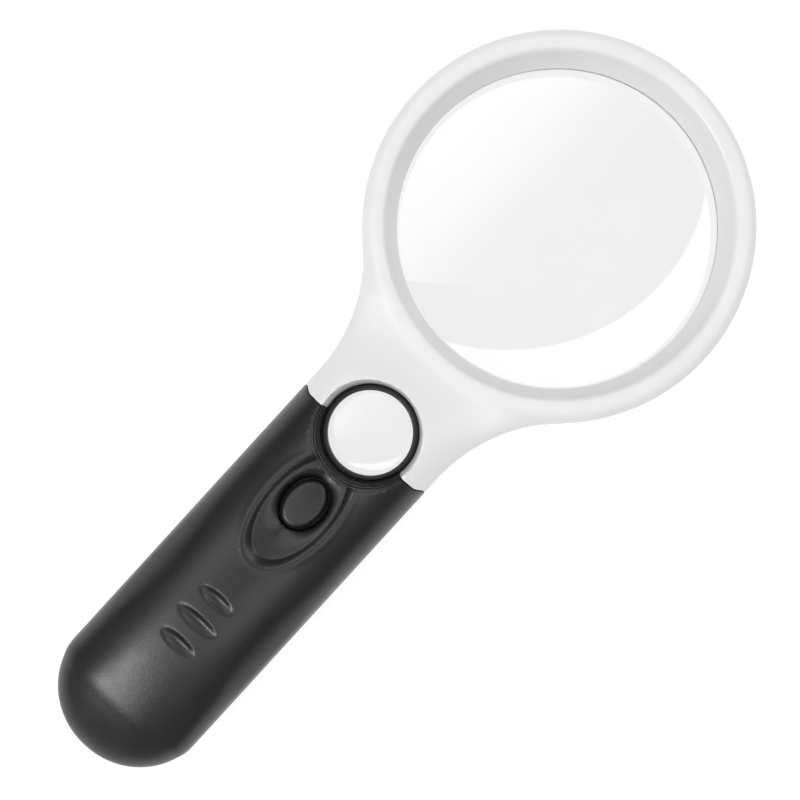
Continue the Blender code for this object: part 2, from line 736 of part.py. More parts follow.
def handle_shells():
    """Front and rear shells round one hollow, in which their posts and guides stand."""
    outside = handle_body("handle_outside", 0.0, SEAM_Y - HALF_GAP)
    hollow = handle_body("handle_hollow", WALL, SEAM_Y + 2 * MM)
    high = FRONT_Z + REACH
    boss = (RECESS_OUTER[0] + 1 * MM, RECESS_OUTER[1] + 1 * MM)
    guide = [half + BUTTON_PLAY + 1.3 * MM for half in BUTTON_HALF]
    standing = [
        round_bar("handle_well_wall", WELL_BOSS, (0, SMALL_Y), WELL_BOTTOM, high, ROUND_STEPS),
        oval_prism("recess_floor", boss, RECESS_Y, RECESS_Z - WALL, high),
        oval_prism("button_guide", guide, BUTTON_Y, BUTTON_GUIDE_Z, high),
    ]
    standing += posts("tongue_post", TONGUE_SCREW, -REACH, TONGUE_Z - GAP)
    standing += posts("shell_post", SHELL_SCREW, -REACH, high)
    standing += posts("butt_post", BUTT_SCREW, -REACH, high)
    web_half = (BUTT_SCREW[0] + POST_RADIUS / 2, 3 * MM)
    standing.append(
        block(
            "butt_web",
            (-web_half[0], BUTT_Y, HANDLE_MIDDLE - web_half[1]),
            (web_half[0], BUTT_SCREW[1], HANDLE_MIDDLE + web_half[1]),
        )
    )
    for i, y in enumerate((BUTTON_Y + 4 * MM, BUTTON_Y - 3.5 * MM)):
        place = (BOARD_HALF[0] - 1.5 * MM, y)
        standing += posts(f"board_stud_{i}", place, -REACH, BOARD_HEIGHT - GAP, 1.4 * MM)
    cut(hollow, *standing)

    tongue_holes = screw_holes("tongue_screw_hole", TONGUE_SCREW, HEAD_SINK, TONGUE_Z)
    shell_holes = screw_holes("shell_screw_hole", SHELL_SCREW, HEAD_SINK + MM, SHELL_TIP + GAP)
    butt_holes = screw_holes("butt_screw_hole", BUTT_SCREW, BUTT_HEAD_Z, SHELL_TIP + GAP)
    wide = OVERALL_LENGTH

    front = block(
        "handle_front_shell", (-wide, -wide, HANDLE_MIDDLE + HALF_GAP), (wide, wide, high)
    )
    keep(front, outside)
    cut(front, hollow, well_cutter("handle_well"), recess_cutter(), button_hole())
    cut(front, *notch_cutters(), *facet_cutters(), *shell_holes, *butt_holes)
    add_part(front, BLACK_PLASTIC)

    rear = block(
        "handle_rear_shell", (-wide, -wide, -REACH), (wide, wide, HANDLE_MIDDLE - HALF_GAP)
    )
    keep(rear, outside)
    doorway = block(
        "doorway", (-wide, -wide, -2 * REACH), (wide, DOOR_Y, DOOR_SPLIT + HALF_GAP)
    )
    well_room = round_bar(
        "well_room", WELL_BOSS + GAP, (0, SMALL_Y), BARREL_TOP, FRONT_Z, ROUND_STEPS
    )
    cut(rear, hollow, barrel_cutter("handle_barrel_hole"), well_room, doorway)
    cut(rear, *tongue_holes, *shell_holes, *butt_holes)
    add_part(rear, BLACK_PLASTIC)


def oval_prism(name, half, y, z_low, z_high):
    rings = [oval(half[0], half[1], (0, y), z) for z in (z_low, z_high)]
    return loft(name, rings)


def recess_cutter():
    """The egg-shaped recess: a sloping edge down to a flat floor round the button."""
    rise = REACH / RECESS_DEPTH
    rings = [oval(*RECESS_INNER, (0, RECESS_Y), RECESS_Z)]
    high = [mix(a, b, rise) for a, b in zip(RECESS_INNER, RECESS_OUTER)]
    rings.append(oval(*high, (0, RECESS_Y), RECESS_Z + REACH))
    return loft("recess", rings)


def button_hole():
    half = [size + BUTTON_PLAY for size in BUTTON_HALF]
    return oval_prism("button_hole", half, BUTTON_Y, HANDLE_MIDDLE - REACH, FRONT_Z + REACH)


def notch_cutters():
    """Three lens-shaped grooves across the grip."""
    ball = 2.0 * MM
    spread = 1 / math.sqrt(1 - ((ball - NOTCH_DEPTH) / ball) ** 2)
    cutters = []
    for i, half_length in enumerate(NOTCH_HALF_LENGTHS):
        bm = bmesh.new()
        shape = Matrix.Diagonal((half_length * spread, NOTCH_HALF_WIDTH * spread, ball, 1.0))
        bmesh.ops.create_uvsphere(bm, u_segments=16, v_segments=10, radius=1.0, matrix=shape)
        place = (0, NOTCH_Y + (1 - i) * NOTCH_PITCH, FRONT_Z - NOTCH_DEPTH + ball)
        cutters.append(object_of(f"notch_{i}", bm, place))
    return cutters


def facet_cutters():
    """Two long shallow scoops on the shoulders of the grip, from the side of a wide cylinder."""
    radius = (FACET_HALF_LENGTH**2 + FACET_DEPTH**2) / (2 * FACET_DEPTH)
    x = HANDLE_HALF * math.cos(FACET_TURN) ** (2 / CROWN_POWER)
    z = HANDLE_CROWN * math.sin(FACET_TURN) ** (2 / CROWN_POWER)
    slope_x = (x / HANDLE_HALF) ** (CROWN_POWER - 1) / HANDLE_HALF
    slope_z = (z / HANDLE_CROWN) ** (CROWN_POWER - 1) / HANDLE_CROWN
    tilt = math.atan2(slope_z, slope_x)
    cutters = []
    for side in (1, -1):
        bm = bmesh.new()
        bmesh.ops.create_cone(
            bm,
            cap_ends=True,
            segments=160,
            radius1=radius,
            radius2=radius,
            depth=2 * HANDLE_HALF,
        )
        out = radius - FACET_DEPTH
        place = (
            side * (x + out * math.cos(tilt)),
            FACET_Y,
            HANDLE_MIDDLE + z + out * math.sin(tilt),
        )
        cutter = object_of("facet_right" if side > 0 else "facet_left", bm, place)
        cutter.rotation_euler = (0, -side * tilt, 0)
        cutters.append(cutter)
    return cutters


def battery_door():
    """The back of the handle over the cells. It slides off past the domed end."""
    wide = OVERALL_LENGTH
    front_end = DOOR_Y - HALF_GAP
    door = block(
        "battery_door", (-wide, -wide, -REACH), (wide, front_end, DOOR_SPLIT - HALF_GAP)
    )
    keep(door, handle_body("door_outside", 0.0, SEAM_Y - HALF_GAP))
    cut(door, handle_body("door_hollow", WALL, SEAM_Y + 2 * MM))
    half = HANDLE_HALF / 2
    tab_low = WALL + 0.4 * MM
    tab = block(
        "door_tongue",
        (-half, front_end - 3 * MM, tab_low - MM),
        (half, front_end + DOOR_TONGUE, tab_low + 1.2 * MM),
    )
    relief = block(
        "door_tongue_relief",
        (-half - MM, front_end, tab_low - 2 * MM),
        (half + MM, front_end + 2 * DOOR_TONGUE, tab_low),
    )
    cut(tab, relief)
    post_end = BAY_END_Y - TRAY_WALL - 0.9 * MM
    post = block("door_post", (-4 * MM, post_end - 1.4 * MM, MM), (4 * MM, post_end, LATCH_Z + LATCH))
    latch = block(
        "door_latch",
        (-4 * MM, post_end - MM, LATCH_Z),
        (4 * MM, BAY_END_Y - 0.5 * MM, LATCH_Z + LATCH),
    )
    join(door, tab, post, latch)
    ribs = []
    for i in range(DOOR_RIBS):
        y = BUTT_Y + DOME_LENGTH + 3 * MM + i * DOOR_RIB_PITCH
        ribs.append(
            block(f"door_rib_{i}", (-6 * MM, y, -REACH), (6 * MM, y + 0.9 * MM, 0.5 * MM))
        )
    cut(door, *ribs)
    return add_part(door, BLACK_PLASTIC)


# --- button and switch ----------------------------------------------------------------------------


def push_button():
    """An oval domed cap with a flange that keeps it in the handle."""
    half_x, half_y = BUTTON_HALF
    flange_top = BUTTON_FLANGE_Z + SWITCH_WALL
    shape = [
        (BUTTON_FLANGE, BUTTON_FLANGE_Z),
        (BUTTON_FLANGE, flange_top),
        (0.0, flange_top),
        (0.0, BUTTON_TOP - BUTTON_DOME),
    ]
    rings = [oval(half_x + out, half_y + out, (0, BUTTON_Y), z) for out, z in shape]
    for i in range(1, 5):
        angle = math.pi / 2 * i / 5
        z = BUTTON_TOP - BUTTON_DOME * (1 - math.sin(angle))
        size = math.cos(angle)
        rings.append(oval(half_x * size, half_y * size, (0, BUTTON_Y), z))
    cap = loft("push_button", rings, (0, BUTTON_Y, BUTTON_TOP))
    return add_part(set_origin(cap, (0, BUTTON_Y, BUTTON_TOP)), BLACK_PLASTIC)


def switch():
    """The push switch under the button: housing, plunger and return spring."""
    housing = block(
        "switch_housing",
        (-SWITCH_HALF, BUTTON_Y - SWITCH_HALF, SWITCH_Z),
        (SWITCH_HALF, BUTTON_Y + SWITCH_HALF, SWITCH_TOP),
    )
    bore_radius = PLUNGER_RADIUS + PLUNGER_FLANGE + GAP
    bore = [
        (0.0, SWITCH_TOP + MM),
        (PLUNGER_RADIUS + GAP, SWITCH_TOP + MM),
        (PLUNGER_RADIUS + GAP, SWITCH_TOP - SWITCH_WALL),
        (bore_radius, SWITCH_TOP - SWITCH_WALL),
        (bore_radius, SWITCH_FLOOR_Z),
        (0.0, SWITCH_FLOOR_Z),
    ]
    cut(housing, turned("switch_bore", bore, (0, BUTTON_Y, 0), 18))
    add_part(housing, SWITCH_GREY)
    shaft = [
        (0.0, BUTTON_FLANGE_Z - GAP),
        (PLUNGER_RADIUS, BUTTON_FLANGE_Z - GAP),
        (PLUNGER_RADIUS, PLUNGER_FOOT_Z + PLUNGER_FLANGE),
        (PLUNGER_RADIUS + PLUNGER_FLANGE, PLUNGER_FOOT_Z + PLUNGER_FLANGE),
        (PLUNGER_RADIUS + PLUNGER_FLANGE, PLUNGER_FOOT_Z),
        (0.0, PLUNGER_FOOT_Z),
    ]
    plunger = add_part(turned("switch_plunger", shaft, (0, BUTTON_Y, 0), 14), PLUNGER_WHITE)
    low = SWITCH_FLOOR_Z + CONTACT_GAP + SWITCH_WIRE
    high = PLUNGER_FOOT_Z - CONTACT_GAP - SWITCH_WIRE
    radius = PLUNGER_RADIUS + SWITCH_WIRE
    coil = coil_points(4, radius, radius, high - low)
    points = [(x, BUTTON_Y + y, low + z) for x, y, z in coil]
    wire("switch_spring", points, SWITCH_WIRE, SPRING_STEEL)
    return plunger


def coil_points(turns, first_radius, last_radius, length, per_turn=8):
    """A coil about +Z from z = 0, with one flat turn at each end."""
    points = []
    count = turns * per_turn
    for i in range(count + 1):
        angle = 2 * math.pi * i / per_turn
        radius = mix(first_radius, last_radius, i / count)
        rise = (i - per_turn * 0.75) / (count - per_turn * 1.5)
        height = length * min(max(rise, 0.02 * i / count), 1 - 0.02 * (count - i) / count)
        points.append((radius * math.cos(angle), radius * math.sin(angle), height))
    return points


# --- boards and lamps -----------------------------------------------------------------------------


def boards():
    board = block(
        "switch_board",
        (-BOARD_HALF[0], BUTTON_Y - BOARD_HALF[1], BOARD_HEIGHT),
        (BOARD_HALF[0], BUTTON_Y + BOARD_HALF[1], BOARD_TOP),
    )
    add_part(board, BOARD_GREEN)
    half_x, half_y = LAMP_BOARD_HALF
    lamp_board = block(
        "lamp_board",
        (-half_x, LAMP_Y - half_y, LAMP_TOP + GAP),
        (half_x, LAMP_Y + half_y, LAMP_TOP + GAP + BOARD_THICKNESS),
    )
    add_part(lamp_board, BOARD_GREEN)
    body = [(0.0, 3.0), (0.8, 3.0), (1.15, 2.5), (0.95, 1.7), (0.95, -1.7), (1.15, -2.5)]
    body += [(0.8, -3.0), (0.0, -3.0)]
    profile = [(r * MM, z * MM) for r, z in body]
    place = (-BOARD_HALF[0] + 1.6 * MM, BUTTON_Y, BOARD_TOP + 1.15 * MM + GAP)
    resistor = turned("resistor", profile, place, 10)
    resistor.rotation_euler = (math.pi / 2, 0, 0)
    add_part(resistor, RESISTOR_BEIGE)


def lamps():
    """Three domed lamps that shine out of the back of the neck onto what is read."""
    tip = []
    for i in range(5):
        angle = math.pi / 2 * i / 4
        tip.append((LAMP_RADIUS * math.cos(angle), LAMP_SINK + LAMP_RADIUS * (1 - math.sin(angle))))
    profile = [
        (0.0, LAMP_TOP),
        (LAMP_RADIUS + LAMP_FLANGE, LAMP_TOP),
        (LAMP_RADIUS + LAMP_FLANGE, LAMP_TOP - MM),
        (LAMP_RADIUS, LAMP_TOP - MM),
    ] + tip[:-1]
    profile.append((0.0, LAMP_SINK))
    for name, x in zip(("lamp_left", "lamp_middle", "lamp_right"), lamp_places()):
        add_part(turned(name, profile, (x, LAMP_Y, 0), 18), LAMP_CLEAR)


# --- battery bay ----------------------------------------------------------------------------------


def cell_x(i):
    return (i - (CELL_COUNT - 1) / 2) * CELL_PITCH


def cells():
    """Cells side by side, every other one turned round."""
    profile = [
        (0.0, CELL_LENGTH),
        (CELL_TIP_RADIUS, CELL_LENGTH),
        (CELL_TIP_RADIUS, CELL_LENGTH - CELL_TIP),
        (CELL_RADIUS - 0.6 * MM, CELL_LENGTH - CELL_TIP),
        (CELL_RADIUS, CELL_LENGTH - CELL_TIP - 0.5 * MM),
        (CELL_RADIUS, 0.4 * MM),
        (CELL_RADIUS - 0.5 * MM, 0.0),
        (0.0, 0.0),
    ]
    inset = 3 * CONTACT_GAP + PLATE + SPRING_LENGTH
    for i in range(CELL_COUNT):
        cell = turned(f"battery_{i + 1}", profile, (0, 0, 0), 26)
        turned_round = i % 2 == 1
        y = BAY_TOP_Y - inset if turned_round else BAY_END_Y + inset
        cell.location = (cell_x(i), y, CELL_HEIGHT)
        cell.rotation_euler = (math.pi / 2 if turned_round else -math.pi / 2, 0, 0)
        add_part(cell, CELL_JACKET)


def battery_tray():
    """A roof of three troughs over the cells, with a wall at each end for the contacts."""
    low = CELL_HEIGHT + PLATE_RISE + GAP
    high = CELL_HEIGHT + CELL_RADIUS + TRAY_RISE
    half = HANDLE_HALF - WALL - 0.9 * MM
    narrow = CELL_PITCH * (CELL_COUNT - 1) / 2 + 2.7 * MM
    step = 0.1 * MM  # between faces that would otherwise share a plane
    tray = block(
        "battery_tray",
        (-half, DOME_Y + 1.5 * MM, low),
        (half, BAY_TOP_Y + TRAY_WALL - step, high),
    )
    roof = block(
        "tray_roof",
        (step - narrow, BAY_END_Y - TRAY_WALL + step, low + step),
        (narrow - step, BAY_TOP_Y + step, high - step),
    )
    foot = DOOR_SPLIT + 2 * GAP
    end_wall = block(
        "tray_end_wall",
        (-narrow, BAY_END_Y - TRAY_WALL, foot),
        (narrow, BAY_END_Y, high - 2 * step),
    )
    top_wall = block(
        "tray_top_wall",
        (-narrow, BAY_TOP_Y, foot),
        (narrow, BAY_TOP_Y + TRAY_WALL, high - 2 * step),
    )
    join(tray, roof, end_wall, top_wall)
    troughs = []
    for i in range(CELL_COUNT):
        trough = round_bar(f"trough_{i}", CELL_RADIUS + 0.2 * MM, (0, 0), 0.0, BAY_LENGTH + step, 26)
        trough.rotation_euler = (math.pi / 2, 0, 0)
        trough.location = (cell_x(i), (BAY_TOP_Y + BAY_END_Y) / 2, CELL_HEIGHT)
        troughs.append(trough)
    window = block(
        "latch_window",
        (-4.4 * MM, BAY_END_Y - REACH, LATCH_Z - 0.4 * MM),
        (4.4 * MM, BAY_END_Y + GAP, LATCH_Z + LATCH + 0.4 * MM),
    )
    cut(tray, *troughs, window)
    add_part(tray, BLACK_PLASTIC)


def contacts():
    """Plates against the tray's end walls and a spring at each cell's flat end."""
    top = BAY_TOP_Y - CONTACT_GAP - PLATE
    end = BAY_END_Y + CONTACT_GAP
    plates = (
        ("contact_positive", 0, 0, top),
        ("contact_link_top", 1, 2, top),
        ("contact_link_end", 0, 1, end),
        ("contact_negative", 2, 2, end),
    )
    for name, first, last, y in plates:
        plate = block(
            name,
            (cell_x(first) - PLATE_HALF, y, CELL_HEIGHT - PLATE_HALF),
            (cell_x(last) + PLATE_HALF, y + PLATE, CELL_HEIGHT + PLATE_RISE),
        )
        add_part(plate, NICKEL)
    coil = coil_points(SPRING_TURNS, *SPRING_RADII, SPRING_LENGTH - 2 * SPRING_WIRE)
    for i in range(CELL_COUNT):
        direction = -1 if i % 2 == 1 else 1
        face = top if direction < 0 else end + PLATE
        start = face + direction * (CONTACT_GAP + SPRING_WIRE)
        points = [(cell_x(i) + x, start + direction * z, CELL_HEIGHT + y) for x, y, z in coil]
        wire(f"cell_spring_{i + 1}", points, SPRING_WIRE, SPRING_STEEL)


# --- screws and leads -----------------------------------------------------------------------------


def screws():
    pairs = (
        ("tongue_screw", TONGUE_SCREW, HEAD_SINK, TONGUE_TIP),
        ("neck_screw", NECK_SCREW, HEAD_SINK, NECK_SCREW_TIP),
        ("shell_screw", SHELL_SCREW, HEAD_SINK + MM, SHELL_TIP),
        ("butt_screw", BUTT_SCREW, BUTT_HEAD_Z, SHELL_TIP),
    )
    for name, place, head_z, tip_z in pairs:
        for side, spot in zip(("right", "left"), mirrored(place)):
            screw(f"{name}_{side}", spot, head_z, tip_z)


def screw(name, spot, head_z, tip_z):
    """A pan-head screw, driven in from the back."""
    shoulder = head_z + HEAD_HEIGHT
    profile = [
        (0.0, tip_z),
        (SCREW_RADIUS * 0.45, tip_z),
        (SCREW_RADIUS, tip_z - 1.2 * MM),
        (SCREW_RADIUS, shoulder),
        (HEAD_RADIUS, shoulder),
        (HEAD_RADIUS, head_z + 0.4 * MM),
        (HEAD_RADIUS * 0.75, head_z),
        (0.0, head_z),
    ]
    add_part(turned(name, profile, (*spot, 0), 14), SCREW_STEEL)


def eased(points, per_span=3):
    """A smooth curve (Catmull-Rom) through the route's own points."""
    ends = [points[0]] + list(points) + [points[-1]]
    curve = []
    for a, b, c, d in zip(ends, ends[1:], ends[2:], ends[3:]):
        for i in range(per_span):
            t = i / per_span
            curve.append(
                tuple(
                    0.5
                    * (
                        2 * q
                        + (r - p) * t
                        + (2 * p - 5 * q + 4 * r - s) * t**2
                        + (3 * q - p - 3 * r + s) * t**3
                    )
                    for p, q, r, s in zip(a, b, c, d)
                )
            )
    curve.append(points[-1])
    return curve


def leads():
    """Insulated leads: cells to switch board, and switch board to lamps."""
    over = CELL_HEIGHT + CELL_RADIUS + TRAY_RISE + 1.2 * MM
    pad = BOARD_TOP + LEAD_RADIUS + CONTACT_GAP
    board_end = BUTTON_Y - BOARD_HALF[1] + 1.4 * MM
    board_top = BUTTON_Y + BOARD_HALF[1] - 1.6 * MM
    wall_y = BAY_TOP_Y + TRAY_WALL + LEAD_RADIUS + GAP
    side = BARREL_RADIUS + 2.0 * MM
    lamp_z = LAMP_TOP + 2 * GAP + BOARD_THICKNESS + LEAD_RADIUS
    run_z = TONGUE_Z + TONGUE_THICKNESS + LEAD_RADIUS + GAP
    past_post = NECK_SCREW[0] - POST_RADIUS - LEAD_RADIUS - 2 * GAP
    positive = [
        (cell_x(0) + 2 * MM, wall_y, CELL_HEIGHT),
        (cell_x(0) + 4.5 * MM, wall_y + 0.4 * MM, CELL_HEIGHT),
        (-5 * MM, board_end, pad),
    ]
    back = BAY_END_Y - TRAY_WALL - LEAD_RADIUS - GAP
    x = BUTT_SCREW[0] - POST_RADIUS - LEAD_RADIUS - 2 * GAP
    negative = [
        (x, back, over - 2.4 * MM),
        (x, back, over - 0.4 * MM),
        (x, back + 2 * MM, over),
        (x, mix(back, wall_y, 0.5), over),
        (x, wall_y - 1 * MM, over),
        (x - 0.6 * MM, wall_y + 0.4 * MM, over - 2.5 * MM),
        (5.2 * MM, board_end, pad),
    ]
    wire("lead_positive", eased(positive), LEAD_RADIUS, RED_LEAD)
    wire("lead_negative", eased(negative), LEAD_RADIUS, BLACK_LEAD)
    for name, sign, look in (
        ("lead_lamp_positive", -1, RED_LEAD),
        ("lead_lamp_negative", 1, BLACK_LEAD),
    ):
        route = [
            (sign * 6.0 * MM, board_top, pad),
            (sign * 8.5 * MM, board_top + 2.5 * MM, run_z),
            (sign * (side - 1.5 * MM), SMALL_Y - 6 * MM, run_z),
            (sign * side, SMALL_Y, run_z),
            (sign * (side - 1.0 * MM), SMALL_Y + 5.5 * MM, run_z),
            (sign * past_post, NECK_SCREW[1], run_z + 0.5 * MM),
            (sign * (LAMP_BOARD_HALF[0] - 2.0 * MM), LAMP_Y - 1.5 * MM, lamp_z + 0.2 * MM),
        ]
        wire(name, eased(route), LEAD_RADIUS, look)


def build():
    lens_frame()
    lenses()
    handle_shells()
    door = battery_door()
    on_axis("battery_door_slide", (0, DOOR_Y, 0), [door])
    button = push_button()
    plunger = switch()
    on_axis("push_button_slide", (0, BUTTON_Y, BUTTON_TOP), [button, plunger])
    boards()
    lamps()
    cells()
    battery_tray()
    contacts()
    screws()
    leads()


clear_scene()
PARTS = new_collection("low_vision_magnifier")
CUTTERS = new_collection("cutters")
build()
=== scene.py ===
"""Looks of the hand-held magnifier: shells, lenses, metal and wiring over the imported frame."""

import json
import math

import bmesh
import bpy
import numpy as np
from mathutils import Matrix, Vector


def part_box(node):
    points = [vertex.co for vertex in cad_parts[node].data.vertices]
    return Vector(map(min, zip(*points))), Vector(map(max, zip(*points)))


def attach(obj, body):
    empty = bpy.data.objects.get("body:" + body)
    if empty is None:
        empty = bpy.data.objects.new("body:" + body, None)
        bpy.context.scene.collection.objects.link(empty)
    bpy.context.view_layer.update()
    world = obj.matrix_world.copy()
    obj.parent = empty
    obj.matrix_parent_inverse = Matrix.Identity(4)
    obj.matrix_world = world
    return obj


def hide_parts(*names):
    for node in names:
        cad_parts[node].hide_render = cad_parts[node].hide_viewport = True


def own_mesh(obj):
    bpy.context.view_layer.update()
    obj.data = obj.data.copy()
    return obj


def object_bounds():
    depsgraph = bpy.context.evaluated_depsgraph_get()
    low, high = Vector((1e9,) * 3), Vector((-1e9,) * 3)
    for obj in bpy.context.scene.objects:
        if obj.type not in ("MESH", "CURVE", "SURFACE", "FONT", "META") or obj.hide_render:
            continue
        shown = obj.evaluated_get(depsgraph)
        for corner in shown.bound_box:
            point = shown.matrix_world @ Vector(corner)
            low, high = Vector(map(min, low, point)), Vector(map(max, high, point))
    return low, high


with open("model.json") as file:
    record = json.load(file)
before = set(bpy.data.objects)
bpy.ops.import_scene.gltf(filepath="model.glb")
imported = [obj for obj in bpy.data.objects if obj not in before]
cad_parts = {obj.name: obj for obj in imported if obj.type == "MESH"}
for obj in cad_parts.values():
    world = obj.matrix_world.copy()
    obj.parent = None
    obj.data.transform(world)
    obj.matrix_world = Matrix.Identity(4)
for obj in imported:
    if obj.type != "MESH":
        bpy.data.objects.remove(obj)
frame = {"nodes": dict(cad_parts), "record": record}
CAD_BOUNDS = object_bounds()

MM = 0.001


def box_mm(node):
    """Lowest and highest corner of a CAD node, in millimetres."""
    low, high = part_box(node)
    return np.array(low) * 1000, np.array(high) * 1000


# --- sizes, in millimetres, from the frame --------------------------------------------------------

lens_low, lens_high = box_mm("main_lens")
small_low, small_high = box_mm("small_lens")
bezel_low, bezel_high = box_mm("small_lens_bezel")
barrel_high = box_mm("small_lens_barrel")[1]
front_low, front_high = box_mm("front_frame")
rear_high = box_mm("rear_frame")[1]
shell_low, shell_high = box_mm("handle_front_shell")
door_high = box_mm("battery_door")[1]
button_low, button_high = box_mm("push_button")

WALL = 1.8
GAP = 0.3
HALF_GAP = GAP / 2

RING_Y = (lens_low[1] + lens_high[1]) / 2
RING_R = front_high[0]
RING_TOP = 16.0
BORE_FLARE = 2.6
BORE_TOP = 15.4
LENS_R = lens_high[0]
LENS_LIP = 1.6
LENS_CLEAR = LENS_R - LENS_LIP
LENS_SEAT = 8.45  # height of the face that the lens stops against
FRAME_TOP = rear_high[2]
FRAME_BOTTOM = front_low[2]

SMALL_Y = (small_low[1] + small_high[1]) / 2
SMALL_R = small_high[0]
SMALL_LIP = 0.6
SMALL_CLEAR = SMALL_R - SMALL_LIP
SMALL_SEAT = 8.7
BEZEL_R = bezel_high[0]
BARREL_R = barrel_high[0]
BARREL_TOP = barrel_high[2]
WELL_R = BEZEL_R + GAP
WELL_Z = bezel_low[2]
WELL_SLOPE = 1.0
GRIP_WELL = 1.5
WELL_BOSS = WELL_R + GRIP_WELL + 1.0

HANDLE_HALF = shell_high[0]
MIDDLE = shell_low[2] - HALF_GAP
CROWN = 13.0
BELLY = 12.9
FRONT_Z = MIDDLE + CROWN
SEAM_Y = shell_high[1] + HALF_GAP
SEAM_DIP = 1.1
BUTT_Y = shell_low[1]
DOME = 17.7
DOME_Y = BUTT_Y + DOME
CROWN_RUN = 30.0
CROWN_DROP = 2.4  # at the start of the dome
CROWN_END = 1.62  # in lengths of the run, where the crown stops coming down
RAMP_Y = RING_Y - LENS_CLEAR - 4.6
FILLET = 40.0
FILLET_X = HANDLE_HALF + FILLET
FILLET_REACH = math.sqrt((RING_R + FILLET) ** 2 - FILLET_X**2)
FILLET_Y = RING_Y - FILLET_REACH
TANGENT_Y = RING_Y - FILLET_REACH * RING_R / (RING_R + FILLET)

BUTTON_Y = (button_low[1] + button_high[1]) / 2
BUTTON_TOP = button_high[2]
BUTTON_FLANGE = 0.8
BUTTON_HALF = (
    button_high[0] - BUTTON_FLANGE,
    (button_high[1] - button_low[1]) / 2 - BUTTON_FLANGE,
)
RECESS_Y = BUTTON_Y - 1.5
RECESS_DEPTH = 1.9
RECESS_Z = FRONT_Z - RECESS_DEPTH
RECESS_FLOOR = (6.85, 13.1)
RECESS_RIM = (8.9, 15.4)
DOOR_Y = door_high[1] - 3.4 + HALF_GAP
DOOR_Z = 5.15
FRONT_POWER = 2.3  # exponent of the section above the parting plane
REAR_POWER = 3.0
HEAD_POWER = 4.5  # of both where the neck meets the ring


# --- distance fields ------------------------------------------------------------------------------


def soft_max(a, b, k):
    h = np.maximum(k - np.abs(a - b), 0) / k
    return np.maximum(a, b) + h * h * k / 4


def soft_min(a, b, k):
    return -soft_max(-a, -b, k)


def step(value):
    value = np.clip(value, 0.0, 1.0)
    return value * value * (3 - 2 * value)


def mix(a, b, share):
    return a + (b - a) * share


def disc(x, y, place, radius):
    return np.hypot(x - place[0], y - place[1]) - radius


def ellipse(x, y, place, half):
    dx = x - place[0]
    dy = y - place[1]
    g = np.hypot(dx / half[0], dy / half[1])
    slope = np.hypot(dx / half[0] ** 2, dy / half[1] ** 2)
    return (g - 1) * g / np.maximum(slope, 1e-3)


def cuboid(x, y, z, low, high):
    return np.maximum.reduce(
        [low[0] - x, x - high[0], low[1] - y, y - high[1], low[2] - z, z - high[2]]
    )


def squircle(x, z, a, b, p):
    """About the distance to |x/a|^p + |z/b|^p = 1, all of which may vary from place to place."""
    u = np.abs(x / a)
    v = np.abs(z / b)
    g = np.maximum((u**p + v**p) ** (1 / p), 1e-4)
    slope = g ** (1 - p) * np.hypot(u ** (p - 1) / a, v ** (p - 1) / b)
    return (g - 1) / np.maximum(slope, 0.25 / np.maximum(a, b)), g


def crown_drop(y):
    """How far the grip's crown has come down towards the butt."""
    run = np.clip((DOME_Y + CROWN_RUN - y) / CROWN_RUN, 0, CROWN_END)
    return CROWN_DROP * run * run


def trunk(x, y, z, inset):
    """Neck and handle in one: the section changes towards the ring, and the butt is a dome."""
    share = step((y - SEAM_Y) / (RAMP_Y - SEAM_Y))
    past = np.clip(y, FILLET_Y, TANGENT_Y) - FILLET_Y
    flare = FILLET_X - np.sqrt(FILLET**2 - past**2)
    half = flare - inset
    middle = mix(MIDDLE, 8.0, share)
    up = mix(CROWN, 7.75, share) - crown_drop(y) - inset
    down = mix(BELLY, 8.2, share) - inset
    dz = z - middle
    above = dz > 0
    depth = np.where(above, up, down)
    power = mix(np.where(above, FRONT_POWER, REAR_POWER), HEAD_POWER, share)
    body, g = squircle(x, dz, half, depth, power)
    t = np.maximum(DOME_Y - y, 0) / (DOME - inset)
    whole = np.sqrt(g * g + t * t)
    rho = np.sqrt(x * x + dz * dz + (t * (DOME - inset)) ** 2)
    dome = rho * (1 - 1 / np.maximum(whole, 1e-3))
    body = np.where(y < DOME_Y, mix(body, dome, step((DOME_Y - y) / 6)), body)
    return soft_max(body, inset - z, 0.8)


def seam(x):
    """The joint between white head and black grip, which dips towards the butt at its middle."""
    return SEAM_Y - SEAM_DIP * step((HANDLE_HALF - np.abs(x)) / 3.0)


def well(x, y, z, slope=WELL_SLOPE, narrowing=WELL_SLOPE):
    """Inside of the tapered well over the small lens, negative in the opening."""
    wide = WELL_R + slope - narrowing * (FRONT_Z - z) / (FRONT_Z - WELL_Z)
    return np.maximum(disc(x, y, (0, SMALL_Y), 0) - wide, WELL_Z - 2 * GAP - z)


def both_sides(x, y, place, radius):
    return np.hypot(np.abs(x) - place[0], y - place[1]) - radius


def screw_hole(x, y, z, place, head_z, top):
    head = np.maximum(both_sides(x, y, place, HEAD_R), z - head_z - HEAD_HEIGHT)
    thread = np.maximum(both_sides(x, y, place, THREAD_R), z - top)
    return np.minimum(head, thread)


